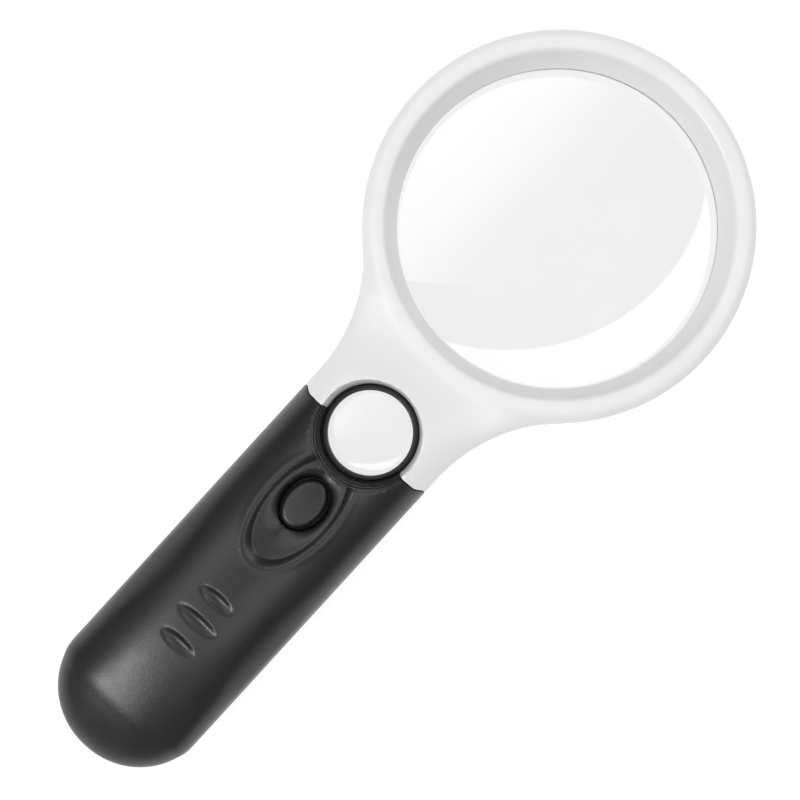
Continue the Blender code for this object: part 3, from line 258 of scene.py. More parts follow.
HEAD_HEIGHT = 1.6
NECK_HOLE = (2.0, 11.8)
TONGUE_HALF = 0.9 * (HANDLE_HALF - WALL)
POST_R = 3.4
POST_HOLE_TOP = 18.3
GUIDE_Z = 19.6  # lower end of the wall that guides the button
THREAD_R = 1.4
HEAD_R = 2.35
BAY_TOP_Y = DOOR_Y - 2.3
BAY_END_Y = box_mm("contact_negative")[0][1] - 0.16
TONGUE_SCREW = (TONGUE_HALF - 2.8, SMALL_Y - BARREL_R - 2.9)
NECK_SCREW = (HANDLE_HALF - 3.4, SMALL_Y + BARREL_R)
SHELL_SCREW = (HANDLE_HALF - WALL - POST_R, BAY_TOP_Y + 5.9)
BUTT_SCREW = (HANDLE_HALF / 2 - 0.7, BAY_END_Y - 5.0)
LAMPS = [
    (sum(box_mm(n)) / 2)[:2] for n in ("lamp_left", "lamp_middle", "lamp_right")
]


def white_outside(x, y, z):
    r = np.hypot(x, y - RING_Y)
    crowning = 0.35 * np.clip((r - 42.0) / 2.6, -1, 1) ** 2
    ring = soft_max(r - RING_R, np.abs(z - RING_TOP / 2) - RING_TOP / 2 + crowning, 3.7)
    neck = soft_max(trunk(x, np.minimum(y, TANGENT_Y), z, 0.0), y - TANGENT_Y, 0.5)
    return soft_min(ring, neck, 0.9)


def neck_hollow(x, y, z):
    ring_wall = LENS_R + GAP + WALL - np.hypot(x, y - RING_Y)
    well_wall = np.maximum(disc(x, y, (0, SMALL_Y), WELL_BOSS), WELL_Z - z)
    inside = np.maximum(trunk(x, np.minimum(y, TANGENT_Y), z, WALL), y - TANGENT_Y)
    inside = np.maximum(inside, ring_wall)
    return np.maximum.reduce([inside, -well_wall, -both_sides(x, y, NECK_SCREW, POST_R)])


def front_frame(x, y, z):
    r = np.hypot(x, y - RING_Y)
    f = white_outside(x, y, z)
    f = np.maximum(f, -neck_hollow(x, y, z))
    bore = LENS_CLEAR + BORE_FLARE * np.maximum(z - LENS_SEAT, 0) / (BORE_TOP - LENS_SEAT)
    f = soft_max(f, bore - r, 0.9)
    f = np.maximum(f, -np.maximum(r - LENS_R - GAP, z - LENS_SEAT))
    f = soft_max(f, seam(x) + HALF_GAP - y, 0.4)
    plate = cuboid(
        x, y, z, (-TONGUE_HALF, TONGUE_SCREW[1] - 3, 6.45), (TONGUE_HALF, SMALL_Y + 5, 8.85)
    )
    fork = cuboid(x, y, z, (-8.6, -99, 0), (8.6, SMALL_Y - BARREL_R + 4, 20))
    f = np.minimum(f, np.maximum.reduce([plate, -fork, -both_sides(x, y, TONGUE_SCREW, THREAD_R)]))
    barrel = np.maximum(disc(x, y, (0, SMALL_Y), BARREL_R + GAP), z - BARREL_TOP - HALF_GAP)
    f = np.maximum(f, -barrel)
    f = soft_max(f, -well(x, y, z), 0.7)
    f = np.maximum(f, -screw_hole(x, y, z, NECK_SCREW, *NECK_HOLE))
    return soft_max(f, FRAME_BOTTOM - z, 0.25)


def rear_frame(x, y, z):
    r = np.hypot(x, y - RING_Y)
    f = white_outside(x, y, z)
    f = np.maximum(f, -neck_hollow(x, y, z))
    bore = LENS_CLEAR + 1.2 * np.clip(1 - z / FRAME_TOP, 0, 1)
    f = soft_max(f, bore - r, 0.9)
    f = soft_max(f, seam(x) + HALF_GAP - y, 0.4)
    f = soft_max(f, -disc(x, y, (0, SMALL_Y), BARREL_R + GAP), 0.4)
    f = soft_max(f, -screw_hole(x, y, z, NECK_SCREW, *NECK_HOLE), 0.3)
    for place in LAMPS:
        mouth = 2.8 + 1.5 * np.clip(1 - z / 1.5, 0, 1)
        f = soft_max(f, -(disc(x, y, place, 0) - mouth), 0.3)
    return soft_max(f, z - FRAME_TOP, 0.25)


def handle_hollow(x, y, z):
    f = trunk(x, y, z, WALL)
    studs = [
        np.maximum(disc(x, y, (0, SMALL_Y), WELL_BOSS), WELL_Z - z),
        np.maximum(ellipse(x, y, (0, RECESS_Y), (9.9, 16.4)), RECESS_Z - WALL - z),
        np.maximum(
            ellipse(x, y, (0, BUTTON_Y), (BUTTON_HALF[0] + 1.85, BUTTON_HALF[1] + 1.85)),
            GUIDE_Z - z,
        ),
        np.maximum(both_sides(x, y, TONGUE_SCREW, POST_R), z - 6.15),
        both_sides(x, y, SHELL_SCREW, POST_R),
        both_sides(x, y, BUTT_SCREW, POST_R),
        cuboid(x, y, z, (-10.2, BUTT_Y, MIDDLE - 3), (10.2, BUTT_SCREW[1], MIDDLE + 3)),
    ]
    for stud_y in (BUTTON_Y + 4, BUTTON_Y - 3.5):
        studs.append(np.maximum(both_sides(x, y, (6.5, stud_y), 1.4), z - 5.7))
    return np.maximum.reduce([f] + [-s for s in studs])


NOTCH_Y = SEAM_Y - 54.5
NOTCH_HALVES = (4.9, 6.2, 4.9)
NOTCH_PITCH = 6.4
NOTCH_RISE = 1.1  # of the notch's middle above the crown
NOTCH_TALL = 2.0
NOTCH_SPREAD = 1.197  # from the half width at the crown to the ellipsoid's
FACET_Y = SEAM_Y - 54.2
FACET_TURN = math.radians(35)
FACET_DEPTH = 0.42
FACET_REACH = 19.2  # half the length of a scoop
FACET_CURVE = 44.0  # twice the radius to which its floor is domed across


def facet(x, y, z):
    """Two long shallow scoops on the shoulders of the grip."""
    radius = (FACET_REACH**2 + FACET_DEPTH**2) / (2 * FACET_DEPTH)
    fx = HANDLE_HALF * math.cos(FACET_TURN) ** (2 / FRONT_POWER)
    fz = CROWN * math.sin(FACET_TURN) ** (2 / FRONT_POWER)
    rise = (fz / CROWN) ** (FRONT_POWER - 1) / CROWN
    run = (fx / HANDLE_HALF) ** (FRONT_POWER - 1) / HANDLE_HALF
    tilt = math.atan2(rise, run)
    u = (np.abs(x) - fx) * math.cos(tilt) + (z - MIDDLE - fz) * math.sin(tilt)
    along = (z - MIDDLE - fz) * math.cos(tilt) - (np.abs(x) - fx) * math.sin(tilt)
    return np.hypot(u + along**2 / FACET_CURVE - radius + FACET_DEPTH, y - FACET_Y) - radius


def handle_front(x, y, z):
    f = trunk(x, y, z, 0.0)
    f = soft_max(f, -facet(x, y, z), 0.2)
    f = soft_max(f, y - seam(x) + HALF_GAP, 0.3)
    hole = ellipse(x, y, (0, BUTTON_Y), (BUTTON_HALF[0] + 0.55, BUTTON_HALF[1] + 0.55))
    share = (z - RECESS_Z) / RECESS_DEPTH
    edge = [mix(a, b, share) for a, b in zip(RECESS_FLOOR, RECESS_RIM)]
    egg = ellipse(x, y, (0, RECESS_Y), edge)
    flat = ellipse(x, y, (0, RECESS_Y), RECESS_FLOOR)
    from_hole = np.maximum(hole, 0)
    to_edge = np.maximum(-flat, 0.05)
    bowl = RECESS_Z + 0.25 - 1.4 * (to_edge / (to_edge + from_hole)) ** 2
    lip = ellipse(x, y, (0, RECESS_Y), RECESS_RIM)
    f = f - 0.1 * np.exp(-(((lip - 0.4) / 0.8) ** 2))
    f = soft_max(f, -soft_max(egg, bowl - z, 0.3), 0.9)
    f = soft_max(f, -well(x, y, z, GRIP_WELL + 0.15, 0.0), 0.3)
    for i, half in enumerate(NOTCH_HALVES):
        cy = NOTCH_Y + (1 - i) * NOTCH_PITCH
        a, b, c = half * NOTCH_SPREAD, 1.5 * NOTCH_SPREAD, NOTCH_TALL
        dx, dy, dz = x / a, (y - cy) / b, (z - FRONT_Z + crown_drop(cy) - NOTCH_RISE) / c
        g = np.sqrt(dx * dx + dy * dy + dz * dz)
        slope = np.sqrt((dx / a) ** 2 + (dy / b) ** 2 + (dz / c) ** 2)
        f = soft_max(f, -(g - 1) * g / np.maximum(slope, 0.05), 0.4)
    f = np.maximum(f, -handle_hollow(x, y, z))
    f = soft_max(f, -hole, 0.35)
    for place in (SHELL_SCREW, BUTT_SCREW):
        f = np.maximum(f, -np.maximum(both_sides(x, y, place, THREAD_R), z - POST_HOLE_TOP))
    return soft_max(f, MIDDLE + HALF_GAP - z, 0.35)


def handle_rear(x, y, z):
    f = trunk(x, y, z, 0.0)
    f = soft_max(f, y - seam(x) + HALF_GAP, 0.5)
    f = np.maximum(f, -handle_hollow(x, y, z))
    f = soft_max(f, -np.maximum(disc(x, y, (0, SMALL_Y), BARREL_R + GAP), z - BARREL_TOP), 0.4)
    f = np.maximum(f, -np.maximum(disc(x, y, (0, SMALL_Y), WELL_BOSS + GAP), BARREL_TOP - z))
    f = soft_max(f, -np.maximum(y - DOOR_Y, z - DOOR_Z), 0.3)
    f = soft_max(f, -screw_hole(x, y, z, TONGUE_SCREW, 2.0, 9), 0.3)
    f = soft_max(f, -screw_hole(x, y, z, SHELL_SCREW, 3.0, 20), 0.3)
    f = soft_max(f, -screw_hole(x, y, z, BUTT_SCREW, DOOR_Z + 0.85, 20), 0.3)
    return soft_max(f, z - MIDDLE + HALF_GAP, 0.35)


def door(x, y, z):
    f = trunk(x, y, z, 0.0)
    f = soft_max(f, y - DOOR_Y + GAP, 0.3)
    f = np.maximum(f, -trunk(x, y, z, WALL))
    front_end = DOOR_Y - HALF_GAP
    tab = cuboid(x, y, z, (-9.2, front_end - 3, 1.2), (9.2, front_end + 3.4, 3.4))
    relief = cuboid(x, y, z, (-10.2, front_end, 0), (10.2, front_end + 7, 2.2))
    f = np.minimum(f, np.maximum(tab, -relief))
    end = BAY_END_Y - 2.4
    post = cuboid(x, y, z, (-4, end - 1.4, 1), (4, end, 8.0))
    latch = cuboid(x, y, z, (-4, end - 1, 6.8), (4, BAY_END_Y - 0.5, 8.0))
    for i in range(5):
        rib_y = DOME_Y + 3 + 2.4 * i
        rib = np.maximum.reduce([np.abs(x) - 6, np.abs(y - rib_y - 0.45) - 0.45, z - 0.5])
        f = soft_max(f, -rib, 0.25)
    f = soft_max(f, z - DOOR_Z + GAP, 0.25)
    return np.minimum.reduce([f, post, latch])


def button(x, y, z):
    dx, dy = x / BUTTON_HALF[0], (y - BUTTON_Y) / BUTTON_HALF[1]
    side = ellipse(x, y, (0, BUTTON_Y), BUTTON_HALF)
    bulge = BUTTON_TOP - 0.3 * (dx * dx + dy * dy)
    cap = soft_max(side, z - bulge, 1.1)
    half = [h + BUTTON_FLANGE for h in BUTTON_HALF]
    flange = np.maximum(ellipse(x, y, (0, BUTTON_Y), half), z - button_low[2] - 1)
    return np.maximum(np.minimum(cap, flange), button_low[2] - z)


# --- surfaces from the fields ---------------------------------------------------------------------


def slope_of(field, p, h=0.02):
    grads = []
    for axis in range(3):
        d = np.zeros(3)
        d[axis] = h
        grads.append(field(*(p + d).T) - field(*(p - d).T))
    n = np.stack(grads, 1)
    return n / np.maximum(np.linalg.norm(n, axis=1), 1e-9)[:, None]


def crossings(field, values, points, axis):
    """Where the field changes sign along the grid lines of one axis."""
    low = [slice(None)] * 3
    high = [slice(None)] * 3
    low[axis] = slice(0, -1)
    high[axis] = slice(1, None)
    a = values[tuple(low)]
    b = values[tuple(high)]
    at = np.argwhere((a < 0) != (b < 0))
    fa = a[tuple(at.T)]
    fb = b[tuple(at.T)]
    start = np.stack([points[i][at[:, i]] for i in range(3)], 1)
    span = np.zeros_like(start)
    span[:, axis] = points[axis][at[:, axis] + 1] - points[axis][at[:, axis]]
    t0 = np.zeros(len(at))
    t1 = np.ones(len(at))
    f0, f1 = fa.copy(), fb.copy()
    for _ in range(4):
        t = t0 + (t1 - t0) * np.clip(f0 / (f0 - f1), 0.05, 0.95)
        ft = field(*(start + span * t[:, None]).T)
        same = (ft < 0) == (f0 < 0)
        t0 = np.where(same, t, t0)
        f0 = np.where(same, ft, f0)
        t1 = np.where(same, t1, t)
        f1 = np.where(same, f1, ft)
    t = t0 + (t1 - t0) * np.clip(f0 / (f0 - f1), 0, 1)
    return at, start + span * t[:, None], fa < 0


def surface(field, low, high, cell):
    """Vertices and quads of the field's zero surface, with its creases kept (dual contouring)."""
    points = [np.arange(low[i], high[i] + cell, cell) for i in range(3)]
    shape = [len(p) for p in points]
    values = np.empty(shape)
    gx, gy = np.meshgrid(points[0], points[1], indexing="ij")
    for k, z in enumerate(points[2]):
        values[:, :, k] = field(gx, gy, np.full_like(gx, z))
    cells = [n - 1 for n in shape]
    ids, places, normals, quads = [], [], [], []
    for axis in range(3):
        at, p, starts_inside = crossings(field, values, points, axis)
        n = slope_of(field, p)
        j, k = (axis + 1) % 3, (axis + 2) % 3
        corner = []
        for dj, dk in ((0, 0), (-1, 0), (-1, -1), (0, -1)):
            c = at.copy()
            c[:, j] += dj
            c[:, k] += dk
            corner.append(c)
        ok = np.all([(c >= 0).all(1) & (c < cells).all(1) for c in corner], axis=0)
        flat = [np.ravel_multi_index(tuple(c[ok].T), cells) for c in corner]
        quad = np.stack(flat, 1)
        quad[~starts_inside[ok]] = quad[~starts_inside[ok]][:, ::-1]
        quads.append(quad)
        for c in flat:
            ids.append(c)
            places.append(p[ok])
            normals.append(n[ok])
    ids = np.concatenate(ids)
    places = np.concatenate(places)
    normals = np.concatenate(normals)
    used, index = np.unique(ids, return_inverse=True)
    count = np.bincount(index).astype(float)
    centre = np.stack([np.bincount(index, places[:, i]) / count for i in range(3)], 1)
    offset = places - centre[index]
    reach = (normals * offset).sum(1)
    ata = np.empty((len(used), 3, 3))
    atb = np.empty((len(used), 3))
    for i in range(3):
        atb[:, i] = np.bincount(index, normals[:, i] * reach)
        for j in range(3):
            ata[:, i, j] = np.bincount(index, normals[:, i] * normals[:, j])
    ata += np.eye(3) * 0.06
    move = np.linalg.solve(ata, atb[:, :, None])[:, :, 0]
    spot = centre + move
    base = np.stack(np.unravel_index(used, cells), 1)
    floor = np.stack([points[i][base[:, i]] for i in range(3)], 1)
    spot = np.clip(spot, floor, floor + cell)
    faces = np.searchsorted(used, np.concatenate(quads))
    return spot, faces


def bmesh_piece(name, bm, material, body, nodes, angle=38):
    bmesh.ops.recalc_face_normals(bm, faces=bm.faces)
    mesh = bpy.data.meshes.new(name)
    bm.to_mesh(mesh)
    bm.free()
    return finish_piece(name, mesh, material, body, nodes, angle)


def mesh_piece(name, verts, faces, material, body, *nodes, angle=38):
    """A visible piece that stands for CAD nodes and rides on a body, from points in millimetres."""
    mesh = bpy.data.meshes.new(name)
    faces = np.asarray(faces)
    mesh.vertices.add(len(verts))
    mesh.vertices.foreach_set("co", (np.asarray(verts) * MM).astype(np.float32).ravel())
    mesh.loops.add(faces.size)
    mesh.loops.foreach_set("vertex_index", faces.astype(np.int32).ravel())
    mesh.polygons.add(len(faces))
    starts = np.arange(0, faces.size, faces.shape[1], dtype=np.int32)
    mesh.polygons.foreach_set("loop_start", starts)
    mesh.update(calc_edges=True)
    mesh.validate()
    return finish_piece(name, mesh, material, body, nodes, angle)


def finish_piece(name, mesh, material, body, nodes, angle=38):
    mesh.shade_smooth()
    mesh.set_sharp_from_angle(angle=math.radians(angle))
    obj = bpy.data.objects.new(name, mesh)
    bpy.context.scene.collection.objects.link(obj)
    mesh.materials.append(LOOKS[material])
    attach(obj, body)
    if nodes:
        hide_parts(*nodes)
    return obj


def field_piece(name, field, node, material, body, cell=0.5):
    low, high = box_mm(node)
    verts, faces = surface(field, low - 1.3 * cell - 0.15, high + 1.3 * cell + 0.15, cell)
    return mesh_piece(name, verts, faces, material, body, node)


def lathe(name, profile, place, material, body, *nodes, steps=128, angle=38):
    """A body of revolution about Z from a closed (radius, z) profile."""
    bm = bmesh.new()
    rings = []
    for r, z in profile:
        if r < 1e-6:
            rings.append([bm.verts.new((place[0] * MM, place[1] * MM, z * MM))])
            continue
        ring = []
        for i in range(steps):
            a = 2 * math.pi * i / steps
            spot = (place[0] + r * math.cos(a), place[1] + r * math.sin(a), z)
            ring.append(bm.verts.new([c * MM for c in spot]))
        rings.append(ring)
    pairs = list(zip(rings, rings[1:]))
    if len(rings[0]) > 1 and len(rings[-1]) > 1:
        pairs.append((rings[-1], rings[0]))
    for a, b in pairs:
        for i in range(steps):
            j = (i + 1) % steps
            if len(a) == 1 and len(b) == 1:
                continue
            if len(a) == 1:
                bm.faces.new((a[0], b[i], b[j]))
            elif len(b) == 1:
                bm.faces.new((a[i], b[0], a[j]))
            else:
                bm.faces.new((a[i], b[i], b[j], a[j]))
    return bmesh_piece(name, bm, material, body, nodes, angle)


# --- materials ------------------------------------------------------------------------------------


class Tree:
    """A short way to add shader nodes."""

    def __init__(self, name):
        self.material = bpy.data.materials.new(name)
        self.material.use_nodes = True
        self.tree = self.material.node_tree
        self.shader = self.tree.nodes["Principled BSDF"]
        self.coords = self.add("ShaderNodeTexCoord").outputs["Object"]

    def add(self, kind, settings=(), **inputs):
        node = self.tree.nodes.new(kind)
        for key, value in dict(settings).items():
            setattr(node, key, value)
        for key, value in inputs.items():
            self.put(node.inputs[key.replace("_", " ")], value)
        return node

    def put(self, socket, value):
        if isinstance(value, bpy.types.NodeSocket):
            self.tree.links.new(value, socket)
        else:
            socket.default_value = value

    def noise(self, scale, detail=3.0, roughness=0.55, coords=None):
        node = self.add(
            "ShaderNodeTexNoise",
            Vector=coords or self.coords,
            Scale=scale,
            Detail=detail,
            Roughness=roughness,
        )
        return node.outputs["Fac"]

    def spread(self, value, low, high, new_low, new_high):
        node = self.add(
            "ShaderNodeMapRange",
            Value=value,
            From_Min=low,
            From_Max=high,
            To_Min=new_low,
            To_Max=new_high,
        )
        return node.outputs["Result"]

    def ramp(self, value, stops):
        node = self.add("ShaderNodeValToRGB", Fac=value)
        elements = node.color_ramp.elements
        while len(elements) < len(stops):
            elements.new(0.5)
        for element, (place, colour) in zip(elements, stops):
            element.position = place
            element.color = (*colour, 1.0)
        return node.outputs["Color"]

    def math(self, operation, a, b):
        node = self.add("ShaderNodeMath", {"operation": operation})
        self.put(node.inputs[0], a)
        self.put(node.inputs[1], b)
        return node.outputs["Value"]

    def blend(self, share, a, b):
        node = self.add("ShaderNodeMix", {"data_type": "RGBA"})
        self.put(node.inputs["Factor"], share)
        self.put(node.inputs["A"], a if isinstance(a, bpy.types.NodeSocket) else (*a, 1.0))
        self.put(node.inputs["B"], b if isinstance(b, bpy.types.NodeSocket) else (*b, 1.0))
        return node.outputs["Result"]

    def bump(self, height, distance, strength=1.0, normal=None):
        node = self.add("ShaderNodeBump", Height=height, Distance=distance, Strength=strength)
        if normal is not None:
            self.put(node.inputs["Normal"], normal)
        return node.outputs["Normal"]

    def set(self, **inputs):
        for key, value in inputs.items():
            self.put(self.shader.inputs[key.replace("_", " ")], value)

    def wear(self, low, high):
        """From 0 to 1 where edges stand out."""
        edge = self.add("ShaderNodeNewGeometry").outputs["Pointiness"]
        return self.spread(edge, low, high, 0.0, 1.0)


def moulded(name, colour, worn, roughness, grain, depth, specular=0.5):
    """Moulded plastic: fine spark texture, faint flow marks, handled patches and rubbed edges."""
    t = Tree(name)
    fine = t.noise(grain, 2.0, 0.6)
    flow = t.noise(55.0, 3.0, 0.6)
    patches = t.noise(140.0, 4.0, 0.65)
    scuffs = t.noise(900.0, 2.0, 0.5)
    shade = t.spread(flow, 0.3, 0.7, 0.0, 1.0)
    darker = tuple(c * 0.965 for c in colour)
    base = t.blend(shade, colour, darker)
    edge = t.math("MULTIPLY", t.wear(0.53, 0.62), t.spread(scuffs, 0.4, 0.65, 0.0, 0.6))
    t.set(Base_Color=t.blend(edge, base, worn))
    rough = t.spread(patches, 0.3, 0.7, roughness - 0.03, roughness + 0.04)
    t.set(Roughness=t.math("SUBTRACT", rough, t.math("MULTIPLY", edge, 0.08)))
    t.set(Normal=t.bump(fine, depth, 0.8), IOR=1.5, Specular_IOR_Level=specular)
    return t.material


def clear(name, tint, ior, haze):
    """Polished clear plastic with the faintest haze and finger-smear patches."""
    t = Tree(name)
    smear = t.noise(160.0, 3.0, 0.6)
    t.set(Base_Color=(*tint, 1.0), IOR=ior, Transmission_Weight=1.0)
    t.set(Roughness=t.spread(smear, 0.45, 0.75, 0.0, haze))
    t.set(Normal=t.bump(t.noise(60.0, 2.0), 0.000002, 0.3))
    return t.material


def metal(name, colour, roughness, scale, brushed=(1.0, 1.0, 1.0)):
    """Plated metal with drawn lines and a little tarnish."""
    t = Tree(name)
    mapping = t.add("ShaderNodeMapping", Vector=t.coords, Scale=brushed)
    lines = t.noise(scale, 4.0, 0.6, mapping.outputs["Vector"])
    tarnish = t.noise(260.0, 4.0, 0.6)
    dull = tuple(c * 0.72 for c in colour)
    t.set(Base_Color=t.blend(t.spread(tarnish, 0.45, 0.7, 0.0, 0.8), colour, dull))
    t.set(Roughness=t.spread(lines, 0.3, 0.7, roughness - 0.06, roughness + 0.12))
    t.set(Normal=t.bump(lines, 0.000012, 0.5), Metallic=1.0)
    return t.material


def board(name):
    """Solder mask over copper: darker ground, paler tracks and a weave under it."""
    t = Tree(name)
    tracks = t.add("ShaderNodeTexBrick", Vector=t.coords, Scale=420.0, Mortar_Size=0.035)
    for socket, value in (("Color1", 0.0), ("Color2", 0.0), ("Mortar", 1.0)):
        tracks.inputs[socket].default_value = (value, value, value, 1.0)
    weave = t.noise(2600.0, 2.0)
    base = t.blend(t.spread(weave, 0.3, 0.7, 0, 1), (0.014, 0.12, 0.045), (0.02, 0.15, 0.06))
    t.set(Base_Color=t.blend(tracks.outputs["Color"], base, (0.045, 0.27, 0.1)))
    t.set(Roughness=t.spread(t.noise(300.0), 0.3, 0.7, 0.22, 0.4))
    t.set(Normal=t.bump(tracks.outputs["Color"], 0.00003, 0.6))
    return t.material


def jacket(name):
    """Printed cell jacket: a blue sleeve with a dull gold band round the positive end."""
    t = Tree(name)
    parts = t.add("ShaderNodeSeparateXYZ", Vector=t.coords).outputs
    speckle = t.noise(1200.0, 2.0)
    print_band = t.spread(parts["Y"], -0.071, -0.0705, 0.0, 1.0)
    sleeve = t.blend(t.spread(speckle, 0.3, 0.7, 0, 1), (0.02, 0.045, 0.16), (0.028, 0.06, 0.19))
    t.set(Base_Color=t.blend(print_band, (0.55, 0.4, 0.16), sleeve))
    t.set(Roughness=t.spread(t.noise(420.0), 0.3, 0.7, 0.22, 0.36), Metallic=0.35)
    t.set(Normal=t.bump(t.noise(90.0), 0.00003, 0.4), Coat_Weight=0.4, Coat_Roughness=0.12)
    return t.material


def insulated(name, colour):
    """Extruded wire insulation, slightly dusty."""
    t = Tree(name)
    dust = t.noise(1500.0, 3.0)
    pale = tuple(c * 0.8 + 0.05 for c in colour)
    t.set(Base_Color=t.blend(t.spread(dust, 0.4, 0.75, 0, 0.6), colour, pale))
    t.set(Roughness=t.spread(dust, 0.3, 0.7, 0.38, 0.55))
    t.set(Normal=t.bump(t.noise(900.0), 0.00002, 0.5))
    return t.material


LOOKS = {
    "white_abs": moulded(
        "white_plastic", (0.775, 0.776, 0.778), (0.86, 0.86, 0.86), 0.36, 3600.0, 0.000012
    ),
    "black_abs": moulded(
        "black_plastic", (0.003, 0.0032, 0.0036), (0.03, 0.03, 0.032), 0.33, 2600.0, 0.00004, 0.6
    ),
    "black_satin": moulded(
        "black_satin", (0.003, 0.0032, 0.0035), (0.03, 0.03, 0.032), 0.38, 3200.0, 0.00003, 0.6
    ),
    "lens_glass": clear("optical_acrylic", (0.925, 0.925, 0.925), 1.49, 0.003),
    "lamp_clear": clear("lamp_epoxy", (0.97, 0.97, 0.9), 1.52, 0.12),
    "spring_steel": metal("spring_steel", (0.62, 0.62, 0.64), 0.24, 5000.0),
    "nickel": metal("nickel_plate", (0.72, 0.7, 0.66), 0.26, 2500.0, (1.0, 1.0, 8.0)),
    "screw_steel": metal("zinc_plate", (0.5, 0.5, 0.52), 0.3, 3000.0),
    "board_green": board("solder_mask"),
    "switch_grey": moulded(
        "switch_nylon", (0.1, 0.1, 0.105), (0.2, 0.2, 0.2), 0.5, 3000.0, 0.00002
    ),
    "switch_white": moulded(
        "plunger_acetal", (0.76, 0.76, 0.72), (0.85, 0.85, 0.82), 0.4, 3000.0, 0.00001
    ),
    "cell_jacket": jacket("cell_jacket"),
    "red_lead": insulated("red_insulation", (0.55, 0.02, 0.02)),
    "black_lead": insulated("black_insulation", (0.015, 0.015, 0.015)),
    "resistor_beige": moulded(
        "resistor_lacquer", (0.62, 0.48, 0.3), (0.7, 0.6, 0.45), 0.35, 2500.0, 0.00002
    ),
}

# --- pieces ---------------------------------------------------------------------------------------

BODY = "magnifier"
field_piece("white_front_frame", front_frame, "front_frame", "white_abs", BODY, 0.5)
field_piece("white_rear_frame", rear_frame, "rear_frame", "white_abs", BODY, 0.5)
field_piece("black_front_shell", handle_front, "handle_front_shell", "black_abs", BODY, 0.45)
field_piece("black_rear_shell", handle_rear, "handle_rear_shell", "black_abs", BODY, 0.5)
field_piece("black_battery_door", door, "battery_door", "black_abs", "door", 0.45)
field_piece("black_push_button", button, "push_button", "black_satin", "button", 0.25)


LENS_EDGE = 2.0
CHAMFER = 0.15
# Fitted to the photo, which shows one reflection: the back face neither bends nor reflects.
FRONT_IOR, BACK_IOR = 1.8, 1.0


def lens(name, low, high, radius, clear_radius, edge, place, node, rings, tint_and_shade, bulge):
    """A lens that bulges both ways inside its flat rim, with a small chamfer at the edge."""
    sag = (high[2] - low[2] - edge) / 2
    back = low[2] + sag
    sag *= bulge
    ball = (clear_radius**2 + sag**2) / (2 * sag)
    front, rear = [], []
    for i in range(rings + 1):
        r = clear_radius * math.sin(math.pi / 2 * i / rings)
        rise = sag - ball + math.sqrt(ball**2 - r**2)
        front.append((r, back + edge + rise))
        rear.append((r, back - rise))
    rim = [
        (radius - CHAMFER, back + edge),
        (radius, back + edge - CHAMFER),
        (radius, back + CHAMFER),
        (radius - CHAMFER, back),
    ]
    profile = front + rim + rear[::-1]
    obj = lathe(name, profile, place, "lens_glass", BODY, node, steps=192, angle=30)
    # The tint stands partly for the acrylic's own loss and partly for painted shade on what is seen
    # through the lens.
    obj.data.materials[0] = clear(name + "_front", tint_and_shade, FRONT_IOR, 0.003)
    obj.data.materials.append(clear(name + "_back", tint_and_shade, BACK_IOR, 0.003))
    for face in obj.data.polygons:
        if face.normal.z < -0.5:
            face.material_index = 1
    return obj


# Lens tints: the main lens's grey darkens the floor seen through it as painted shade; the small
# lens is kept nearly clear to make up for the shade inside its barrel.
lens(
    "clear_main_lens", lens_low, lens_high, LENS_R, LENS_CLEAR - GAP, LENS_EDGE, (0, RING_Y),
    "main_lens", 40, (0.892, 0.892, 0.892), 1.0,
)
lens(
    "clear_small_lens", small_low, small_high, SMALL_R, SMALL_CLEAR - GAP, LENS_EDGE, (0, SMALL_Y),
    "small_lens", 24, (0.99, 0.99, 0.99), 0.72,
)


def rounded(points, radius, count=4):
    """The closed (radius, z) outline with its corners rounded."""
    result = []
    for i, here in enumerate(points):
        before, after = Vector(points[i - 1]), Vector(points[(i + 1) % len(points)])
        here = Vector(here)
        a, b = before - here, after - here
        cut = min(radius, a.length * 0.45, b.length * 0.45)
        p, q = here + a.normalized() * cut, here + b.normalized() * cut
        for k in range(count + 1):
            t = k / count
            result.append(tuple((1 - t) ** 2 * p + 2 * t * (1 - t) * here + t * t * q))
    return result


bezel_profile = [
    (BEZEL_R, bezel_low[2]),
    (BEZEL_R, bezel_high[2]),
    (SMALL_CLEAR, bezel_high[2]),
    (SMALL_CLEAR, bezel_low[2]),
]
well_place = (0, SMALL_Y)
lathe(
    "black_bezel", rounded(bezel_profile, 0.35), well_place, "black_satin", BODY, "small_lens_bezel"
)
barrel_profile = [
    (BARREL_R, BARREL_TOP),
    (BARREL_R, 0.3),
    (SMALL_CLEAR + SMALL_LIP, 0.3),
    (SMALL_CLEAR, 1.2),
    (SMALL_CLEAR, SMALL_SEAT),
    (SMALL_R + GAP, SMALL_SEAT),
    (SMALL_R + GAP, BARREL_TOP),
]
lathe(
    "black_barrel", rounded(barrel_profile, 0.3), well_place, "black_satin", BODY,
    "small_lens_barrel",
)


def rim_height(x, y):
    """Height of the grip's outer surface at one place."""
    z = np.linspace(FRONT_Z + 1, WELL_Z, 500)
    inside = handle_front(np.full_like(z, x), np.full_like(z, y), z) < 0
    return z[np.argmax(inside)]


